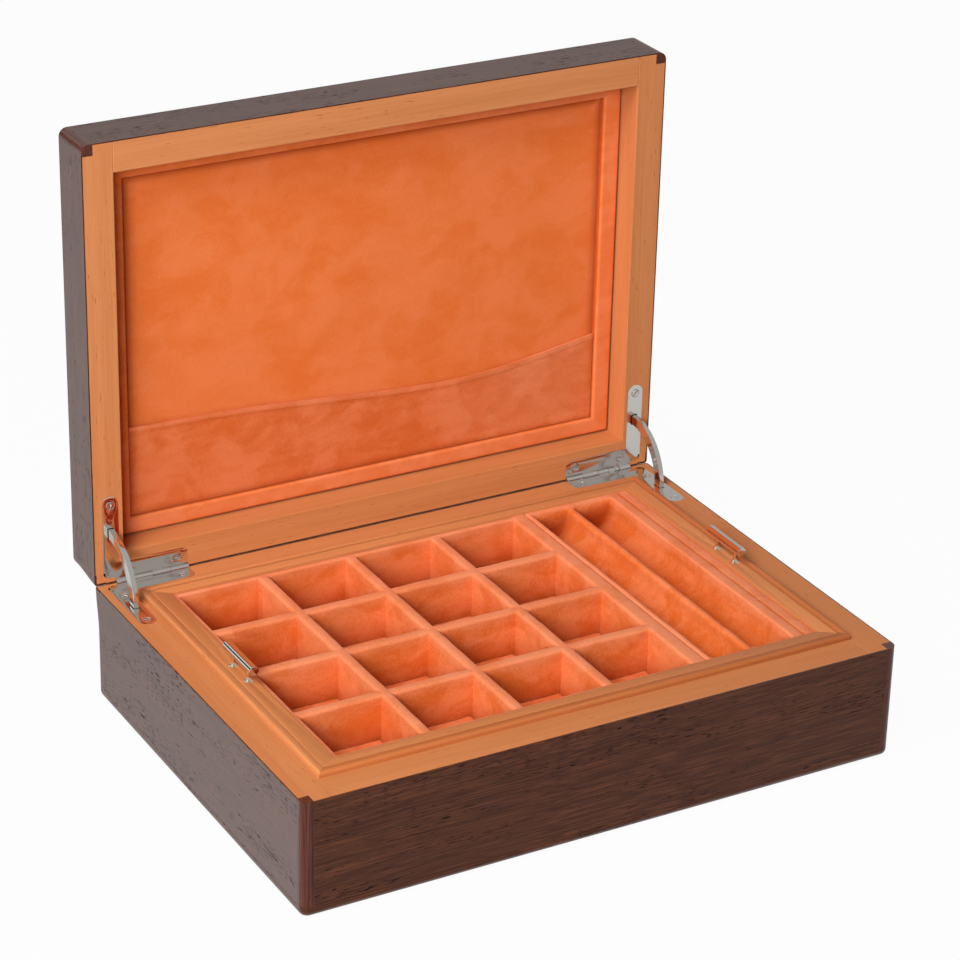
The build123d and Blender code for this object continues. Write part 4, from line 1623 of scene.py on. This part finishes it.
@dataclass
class Handles:
    """Two bar handles, each on two posts with flared feet."""

    centre_x: float = 126.8
    tray_top: float = 59.5
    bar_height: float = 67.2
    bar_radius: float = 2.25
    bar_length: float = 27.6
    spacing: float = 15.4
    post_radius: float = 0.85
    foot_radius: float = 2.25

    def posts(self) -> bpy.types.Object:
        """Turn the four posts."""
        top, foot = self.tray_top, self.foot_radius
        flare = [(foot, top), (foot, top + 0.22), (foot - 0.25, top + 0.42), (foot - 0.7, top + 0.75),
                 (foot - 1.05, top + 1.2), (self.post_radius + 0.12, top + 1.75), (self.post_radius, top + 2.3)]
        shape = [(self.post_radius, top - 6.0), (self.post_radius, top - 0.05)] + flare
        shape.append((self.post_radius, self.bar_height - 0.5))
        draft = Draft()
        for side in (-1, 1):
            for end in (-1, 1):
                lathe(draft, shape, (side * self.centre_x, end * self.spacing / 2, 0.0), 40,
                      lambda a, b, c: (a, b, c))
        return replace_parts(draft.piece("handle_posts_turned", 50.0), "tray_handle_posts")

    def bars(self) -> bpy.types.Object:
        """Turn the two bars."""
        half, radius = self.bar_length / 2, self.bar_radius
        shape = [(0.02, -half), (radius - 0.25, -half), (radius - 0.07, -half + 0.07), (radius, -half + 0.25)]
        shape += [(radius, y) for y in steps(-half + 0.5, half - 0.5, 3.0)]
        shape += [(r, -y) for r, y in reversed(shape[:4])]
        draft = Draft()
        for side in (-1, 1):
            lathe(draft, shape, (side * self.centre_x, 0.0, self.bar_height), 64, lambda a, b, c: (a, c, b))
        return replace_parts(draft.piece("handle_bars_turned", 30.0), "tray_handle_bars")

    def build(self) -> list[bpy.types.Object]:
        """Build and dress both handles."""
        made = [TURNED_NICKEL.dress(self.posts()), NICKEL.dress(self.bars())]
        for piece in made:
            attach(piece, Body.TRAY.value)
        return made


# ---- the lid's lining --------------------------------------------------------------------
@dataclass
class LidLining:
    """Suede frame, padded back and pocket. Height is the depth into the open lid."""

    lid_y: float = 108.0
    middle_z: float = 165.35
    outer_x: float = 134.5
    outer_z: float = 92.5
    width_x: float = 9.5
    width_z: float = 8.5
    face: float = 13.55
    pad_face: float = 16.95
    panel: float = 19.95
    rounding: float = 1.4
    pin_z: float = 57.35
    pocket_gap: float = 0.35
    pocket_foot: float = 24.4
    hem_width: float = 3.2
    pocket_edge: tuple[Flat, ...] = ((-124.6, 69.5), (-62.0, 67.6), (18.0, 61.2), (62.0, 61.0), (124.6, 69.5))

    def frame_light_and_shade(self, point: Vector) -> float:
        """Paint shade on the frame in the gap beside the wall and on its sides going back, and light on its
        lower and right-hand sides.

        Args:
            point: a point of the frame, in millimetres.

        Returns:
            Painted light below 0 and painted shade above 0.
        """
        beside, across = self.outer_x - abs(point.x), self.outer_z - abs(point.z - self.middle_z)
        behind = point.y - self.lid_y - self.face - 0.5
        painted_shade = max(0.0, 1 - min(beside, across) / 1.6) + max(0.0, behind / 1.6)
        painted_light = 0.3 if across < beside and point.z < self.middle_z else 0.2 if point.x > 0 else 0.0
        return min(0.95, painted_shade) - painted_light * max(0.0, 1 - painted_shade)

    def back_light_and_shade(self, point: Vector) -> float:
        """Paint shadow along the back's left and top edges and lighter shade along its other edges.

        Args:
            point: a point of the back, in millimetres.

        Returns:
            Painted light below 0 and painted shade above 0.
        """
        beside = self.outer_x - self.width_x - abs(point.x)
        across = self.outer_z - self.width_z - abs(point.z - self.middle_z)
        shaded = point.x < 0 if beside < across else point.z > self.middle_z
        inward = min(beside, across)
        return max(0.0, 1 - inward / 5.0) if shaded else 0.75 * max(0.0, 1 - inward / 3.5)

    def pocket_light_and_shade(self, point: Vector) -> float:
        """Paint light on the pocket's hem and towards its right, and shade at its sides and foot.

        Args:
            point: a point of the pocket, in millimetres.

        Returns:
            Painted light below 0 and painted shade above 0.
        """
        reach = point.z - self.pin_z
        hem = max(0.0, 1 - abs(self.edge_height(point.x) - reach - 0.6) / 1.2)
        inward = min(self.pocket_edge[-1][0] - abs(point.x), reach - self.pocket_foot)
        painted_light = 0.3 * min(1.0, max(0.0, (point.x - 30.0) / 40.0))
        return 0.6 * max(0.0, 1 - inward / 3.0) - max(0.6 * hem, painted_light)

    def suede_frame(self) -> bpy.types.Object:
        """Build the wrapped frame with its mitred corners."""
        r = self.rounding
        outside = [(r - r * math.cos(a), self.face + r - r * math.sin(a))
                   for a in (math.radians(15 * i) for i in range(7))]
        section = [((0.0, 0.0), self.panel)] + [((inset, inset), depth) for inset, depth in outside]
        section += [((share * self.width_x, share * self.width_z), self.face) for share in (0.35, 0.65)]
        section += [((self.width_x - inset, self.width_z - inset), depth) for inset, depth in reversed(outside)]
        section.append(((self.width_x, self.width_z), self.panel))
        corners = [(-1, -1), (1, -1), (1, 1), (-1, 1)]
        shares = [0.0, 0.004, 0.012, 0.03] + [i / 40 for i in range(2, 39)] + [0.97, 0.988, 0.996]
        loops = []
        for here, there in zip(corners, corners[1:] + corners[:1]):
            for share in shares:
                mitre = 0.16 * max(0.0, 1 - min(share, 1 - share) / 0.006)
                where = tuple(a + (b - a) * share for a, b in zip(here, there))
                loops.append([self.frame_point(where, across, depth, mitre) for across, depth in section])
        made = lofted(loops, "lid_frame_wrapped", 60.0, self.frame_light_and_shade, along=True, caps=False)
        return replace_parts(made, "lid_suede_frame")

    def frame_point(self, where: Flat, across: Flat, depth: float, mitre: float) -> Point:
        """Place a point of the frame's section.

        Args:
            where: place round the frame, each from -1 to 1.
            across: distances in from the outer edge, on the upright and on the level sides.
            depth: depth into the lid.
            mitre: how far the seam at a corner is drawn in.

        Returns:
            The point.
        """
        x = where[0] * (self.outer_x - across[0])
        z = self.middle_z + where[1] * (self.outer_z - across[1])
        on_face = max(0.0, 1 - (depth - self.face) / 3.0)
        depth += on_face * (mitre + 0.10 * sway((x, z, 0.0), 17.0, 41.0))
        return (x, self.lid_y + depth, z)

    def back_pad(self) -> bpy.types.Object:
        """Build the padded back with its soft unevenness."""
        half_x = self.outer_x - self.width_x + 0.5
        half_z = self.outer_z - self.width_z + 0.5
        front = self.lid_y + self.pad_face
        loops = []
        for x in steps(-half_x, half_x, 2.5):
            loop: list[Point] = [(x, self.lid_y + self.panel, self.middle_z - half_z)]
            for z in steps(self.middle_z - half_z, self.middle_z + half_z, 2.5):
                inside = min(1.0, (half_x - abs(x)) / 9, (half_z - abs(z - self.middle_z)) / 9)
                swell = 0.35 * math.sin(0.5 * math.pi * max(0.0, inside))
                swell += inside * (0.22 * sway((x, z, 0.0), 34.0, 51.0) + 0.07 * sway((x, z, 0.0), 9.0, 53.0))
                loop.append((x, front - swell, z))
            loop.append((x, self.lid_y + self.panel, self.middle_z + half_z))
            loops.append(loop)
        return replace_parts(lofted(loops, "lid_back_padded", 60.0, self.back_light_and_shade), "lid_back_pad")

    def edge_height(self, x: float) -> float:
        """Follow the pocket's sagging edge.

        Args:
            x: place across the lid.

        Returns:
            Its distance from the hinge pin.
        """
        knots = self.pocket_edge
        for index in range(len(knots) - 1):
            (x0, t0), (x1, t1) = knots[index], knots[index + 1]
            if x <= x1 or index == len(knots) - 2:
                before = knots[max(0, index - 1)]
                after = knots[min(len(knots) - 1, index + 2)]
                slope0 = (t1 - before[1]) / (x1 - before[0])
                slope1 = (after[1] - t0) / (after[0] - x0)
                span = x1 - x0
                s = (x - x0) / span
                return ((2 * s ** 3 - 3 * s ** 2 + 1) * t0 + (s ** 3 - 2 * s ** 2 + s) * span * slope0
                        + (3 * s ** 2 - 2 * s ** 3) * t1 + (s ** 3 - s ** 2) * span * slope1)
        return knots[-1][1]

    def pocket(self) -> bpy.types.Object:
        """Build the pocket as one thin sheet with a folded hem."""
        low_x, high_x = self.pocket_edge[0][0], self.pocket_edge[-1][0]
        loops = []
        hem = self.hem_width
        for x in steps(low_x, high_x, 2.0):
            top = self.edge_height(x)
            rises = [self.pocket_foot + (top - hem - self.pocket_foot) * share
                     for share in steps(0.0, 1.0, 0.05)]
            rises += [top - 0.8 * hem, top - 0.75 * hem, top - 0.3 * hem, top]
            side = min(1.0, (high_x - abs(x)) / 14)
            front, behind = [], []
            for t in rises:
                upward = (t - self.pocket_foot) / (top - self.pocket_foot)
                ease = math.sin(0.5 * math.pi * max(0.0, side)) * upward
                stand = 0.5 + 1.0 * ease * (0.75 + 0.5 * sway((x, 0.0, 0.0), 40.0, 61.0))
                crease = ease * (0.32 * sway((x + 0.35 * t, 0.6 * t, 0.0), 13.0, 63.0)
                                 + 0.18 * sway((x - 0.8 * t, 0.4 * t, 0.0), 6.0, 65.0))
                thick = 1.15 if t > top - 0.78 * hem else 0.7
                y = self.lid_y + self.pad_face - self.pocket_gap - stand - crease
                front.append((x, y - thick, self.pin_z + t))
                behind.append((x, y, self.pin_z + t))
            loops.append(front + list(reversed(behind)))
        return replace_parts(lofted(loops, "lid_pocket_cloth", 50.0, self.pocket_light_and_shade), "lid_pocket")

    def build(self) -> list[bpy.types.Object]:
        """Build and dress the lining."""
        frame_piece, back, pocket = self.suede_frame(), self.back_pad(), self.pocket()
        for piece, finish in ((frame_piece, FRAME_SUEDE), (back, PANEL_SUEDE), (pocket, POCKET_SUEDE)):
            finish.dress(piece)
            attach(piece, Body.LID.value)
        return [frame_piece, back, pocket]


# ---- hinges ------------------------------------------------------------------------------
@dataclass
class Hinges:
    """Quadrant hinges: leaves, pins, curved stays and their slotted screws."""

    nodes: dict[str, bpy.types.Object]
    pin_y: float = 108.0
    rim_z: float = 57.2
    pin_z: float = 57.35
    lid_rim_y: float = 108.15
    leg_centre: float = 141.35
    tip_reach: float = 39.8
    corner_reach: float = 13.3
    back_reach: float = 5.9
    back_inner: float = 108.2
    lid_outer: float = 133.7
    head_radius: float = 1.92
    throat_radius: float = 1.0
    depth: float = 1.95
    slot_width: float = 0.62
    slot_depth: float = 0.8
    leaf_easing: float = 0.12
    stay_easing: float = 0.35

    def screw(self, in_lid: bool) -> bpy.types.Object:
        """Build one countersunk screw head with its slot.

        Args:
            in_lid: whether its axis is level, as in the open lid.

        Returns:
            The screw.
        """
        r = self.head_radius
        shape = [(0.02, 0.05), (0.6 * r, 0.045), (0.88 * r, 0.03), (0.96 * r, -0.02), (r, -0.12),
                 (self.throat_radius, -self.depth), (0.02, -self.depth - 0.05)]
        turned = (lambda a, b, c: (a, -c, b)) if in_lid else (lambda a, b, c: (a, b, c))
        draft = Draft()
        lathe(draft, shape, (0.0, 0.0, 0.0), 40, turned)
        head = draft.piece("one_screw_head", 30.0)
        w = self.slot_width / 2
        corners = [(-2 * r, -w), (2 * r, -w), (2 * r, w), (-2 * r, w)]
        blade = lofted([[turned(x, y, z) for x, y in corners] for z in (-self.slot_depth, 1.0)], "slot_cutter")
        cut = head.modifiers.new("slot", "BOOLEAN")
        cut.operation = "DIFFERENCE"
        cut.solver = "EXACT"
        cut.object = blade
        made = plain_from(head, "one_screw")
        bpy.data.objects.remove(blade)
        return made

    def screws(self) -> list[bpy.types.Object]:
        """Set the screws in the leaves of base and lid."""
        tip, inner = (self.leg_centre, self.tip_reach), (self.back_inner, self.back_reach)
        base_places = [(side * x, self.pin_y - reach, self.rim_z) for side in (-1, 1)
                       for x, reach in (tip, (self.leg_centre, self.corner_reach), inner)]
        lid_places = [(side * x, self.lid_rim_y, self.pin_z + reach) for side in (-1, 1)
                      for x, reach in (tip, (self.lid_outer, self.back_reach), inner)]
        made = []
        for name, places, axis, body, seed in (
                ("hinge_screws_base", base_places, (0.0, 0.0, 1.0), Body.BASE, 3),
                ("hinge_screws_lid", lid_places, (0.0, 1.0, 0.0), Body.LID, 9)):
            screws = grown(name, on_points_tree(), {
                "Copied piece": self.screw(body is Body.LID),
                "Turn axis": list(axis),
                "Seed": seed,
                "Finish": NICKEL.material(),
            }, places)
            made.append(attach(screws, body.value))
        return made

    def build(self) -> list[bpy.types.Object]:
        """Build and dress both hinges."""
        made = self.screws()
        for side in ("left", "right"):
            for name, body, easing in ((f"base_hinge_leaf_{side}", Body.BASE, self.leaf_easing),
                                       (f"lid_hinge_leaf_{side}", Body.LID, self.leaf_easing),
                                       (f"stay_link_{side}", Body(f"{side}_stay"), self.stay_easing)):
                piece = eased_copy(self.nodes[name], name + "_polished", easing)
                made.append(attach(piece, body.value))
        made.append(self.nodes["hinge_pins"])
        for piece in made:
            NICKEL.dress(piece)
        return made


@dataclass
class FloorPad:
    """Suede pad on the floor of the case, under the tray."""

    half_x: float = 130.8
    half_y: float = 88.8
    foot: float = 6.8
    thickness: float = 2.0

    def build(self) -> list[bpy.types.Object]:
        """Build the pad with a rounded, slightly uneven top."""
        loops = []
        for inset, height in ((0.0, 0.0), (0.0, 0.8), (0.3, 1.5), (1.0, 1.9), (3.0, 2.0)):
            x, y = self.half_x - inset, self.half_y - inset
            loop: list[Point] = []
            for start, end in (((-x, -y), (x, -y)), ((x, -y), (x, y)), ((x, y), (-x, y)), ((-x, y), (-x, -y))):
                for share in steps(0.0, 1.0, 0.05)[:-1]:
                    a = start[0] + (end[0] - start[0]) * share
                    b = start[1] + (end[1] - start[1]) * share
                    z = self.foot + height - 0.12 * height * abs(sway((a, b, 0.0), 20.0, 71.0))
                    loop.append((a, b, z))
            loops.append(loop)
        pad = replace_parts(lofted(loops, "case_floor_padded"), "base_floor_pad")
        PANEL_SUEDE.dress(pad)
        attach(pad, Body.BASE.value)
        return [pad]


# ---- camera, floor and light -------------------------------------------------------------
@dataclass(frozen=True)
class Studio:
    """Camera at the photograph's angle, pale floor and soft light."""

    camera_place: Point = (-665.96, -1152.75, 768.99)
    azimuth: float = -29.7167
    elevation: float = 25.7668
    roll: float = 1.39364
    focal_pixels: float = 3297.96
    image_pixels: float = 960.0
    sensor: float = 36.0
    ambient: float = 0.05
    mirrored: float = 0.42
    floor_paper: float = 0.5
    floor_lift: float = 0.965

    def camera(self) -> None:
        """Place the camera."""
        a, e, t = (math.radians(v) for v in (self.azimuth, self.elevation, self.roll))
        back = Vector((math.sin(a) * math.cos(e), -math.cos(a) * math.cos(e), math.sin(e)))
        right = (-back).cross(Vector((0, 0, 1))).normalized()
        up = right.cross(-back)
        across = math.cos(t) * right + math.sin(t) * up
        upward = -math.sin(t) * right + math.cos(t) * up
        data = bpy.data.cameras.new("camera")
        data.sensor_width = self.sensor
        data.lens = self.focal_pixels / self.image_pixels * self.sensor
        data.clip_start, data.clip_end = 0.05, 20.0
        camera = linked("camera", data)
        turn = Matrix((across, upward, back)).transposed().to_4x4()
        camera.matrix_world = Matrix.Translation(Vector(self.camera_place) * MM) @ turn
        bpy.context.scene.camera = camera

    def floor(self) -> None:
        """Lay the floor, which shows white and keeps a soft shadow."""
        work = bmesh.new()
        bmesh.ops.create_grid(work, x_segments=2, y_segments=2, size=4.0)
        floor = settled(work, "floor")
        made, sheet = blank_material("pale_floor")
        paper = sheet.add("ShaderNodeBsdfDiffuse", {"Color": 3 * (self.floor_paper,)})
        white = sheet.add("ShaderNodeEmission", {"Color": WHITE, "Strength": 1.0})
        share = sheet.math("MULTIPLY", self.seen(sheet), self.floor_lift)
        mix = sheet.add("ShaderNodeMixShader", {0: share, 1: paper.outputs[0], 2: white.outputs[0]})
        sheet.add("ShaderNodeOutputMaterial", {0: mix.outputs[0]})
        floor.data.materials.append(made)

    def seen(self, sheet: NodeSheet) -> bpy.types.NodeSocket:
        """Say how far a ray sees the white: the camera fully, a gloss in part.

        Args:
            sheet: the tree to add to.

        Returns:
            A share from 0 to 1.
        """
        path = sheet.add("ShaderNodeLightPath")
        mirrored = sheet.math("MULTIPLY", path.outputs["Is Glossy Ray"], self.mirrored)
        sharp = sheet.math("MAXIMUM", mirrored, path.outputs["Is Transmission Ray"])
        return sheet.math("MAXIMUM", path.outputs["Is Camera Ray"], sharp)

    def sky(self) -> None:
        """Fill the room with even light and show it white."""
        world = bpy.data.worlds.new("room")
        bpy.context.scene.world = world
        world.use_nodes = True
        sheet = NodeSheet(world.node_tree)
        strength = sheet.math("MULTIPLY_ADD", self.seen(sheet), 1.0 - self.ambient, self.ambient)
        light = sheet.add("ShaderNodeBackground", {"Color": WHITE, "Strength": strength})
        sheet.add("ShaderNodeOutputWorld", {0: light.outputs[0]})

    def lamp(self, name: str, place: Point, aim: Point, size: float, watts: float) -> None:
        """Hang a soft square lamp.

        Args:
            name: its name.
            place: its place in millimetres.
            aim: the point that it faces.
            size: its side in metres.
            watts: its power.
        """
        data = bpy.data.lights.new(name, "AREA")
        data.shape = "SQUARE"
        data.size = size
        data.energy = watts
        lamp = linked(name, data)
        lamp.location = Vector(place) * MM
        lamp.visible_glossy = False
        lamp.rotation_mode = "QUATERNION"
        lamp.rotation_quaternion = (Vector(aim) - Vector(place)).to_track_quat("-Z", "Y")

    def card(self, name: str, place: Point, across: Point, along: Point, glow: float) -> None:
        """Stand a card outside the picture, which only glossy surfaces see.

        Args:
            name: its name.
            place: its centre in millimetres.
            across: from its centre to the middle of one side.
            along: from its centre to the middle of a side next to that one.
            glow: its brightness, where 1 is white.
        """
        corners = [Vector(place) + a * Vector(across) + b * Vector(along)
                   for a, b in ((-1, -1), (1, -1), (1, 1), (-1, 1))]
        mesh = bpy.data.meshes.new(name)
        mesh.from_pydata([MM * corner for corner in corners], [], [(0, 1, 2, 3)])
        made, sheet = blank_material(name)
        light = sheet.add("ShaderNodeEmission", {"Color": WHITE, "Strength": glow})
        clear = sheet.add("ShaderNodeBsdfTransparent")
        glossy = sheet.add("ShaderNodeLightPath").outputs["Is Glossy Ray"]
        mix = sheet.add("ShaderNodeMixShader", {0: glossy, 1: clear.outputs[0], 2: light.outputs[0]})
        sheet.add("ShaderNodeOutputMaterial", {0: mix.outputs[0]})
        mesh.materials.append(made)
        linked(name, mesh)

    def build(self) -> None:
        """Set up camera, floor and light."""
        self.camera()
        self.floor()
        self.sky()
        middle = (0.0, 40.0, 80.0)
        self.lamp("key_lamp", (-1350.0, -1500.0, 1000.0), middle, 0.8, 39.0)
        self.lamp("top_lamp", (-1200.0, -500.0, 1550.0), middle, 0.9, 28.0)
        self.card("dark_card", (-1007.0, 1248.0, 531.0), (140.0, 0.0, 270.0), (350.0, 310.0, -180.0), 0.03)
        self.card("far_card", (-1265.0, 1794.0, 730.0), (322.0, 0.0, 623.0), (312.0, 280.0, -161.0), 1.0)
        self.card("bright_card", (-1330.0, -560.0, 1710.0), (400.0, -300.0, 200.0), (-50.0, 380.0, 480.0), 1.2)
        bpy.context.scene.view_settings.view_transform = "Standard"


def clear_scene() -> None:
    """Remove whatever the empty file starts with."""
    for item in list(bpy.data.objects):
        bpy.data.objects.remove(item)


def main() -> None:
    """Load the model, build every sub-assembly in order and report each piece."""
    clear_scene()
    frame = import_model()
    nodes = frame["nodes"]
    Studio().build()
    for assembly in (Case(nodes), Baize(), FloorPad(), TrayFrame(nodes), Cells(), Troughs(), Handles(),
                     LidLining(), Hinges(nodes)):
        for piece in assembly.build():
            LOG.info("%s: %s, %d faces", type(assembly).__name__, piece.name, len(piece.data.polygons))


if __name__ == "__main__":
    logging.basicConfig(level=logging.INFO, format="%(message)s")
    main()
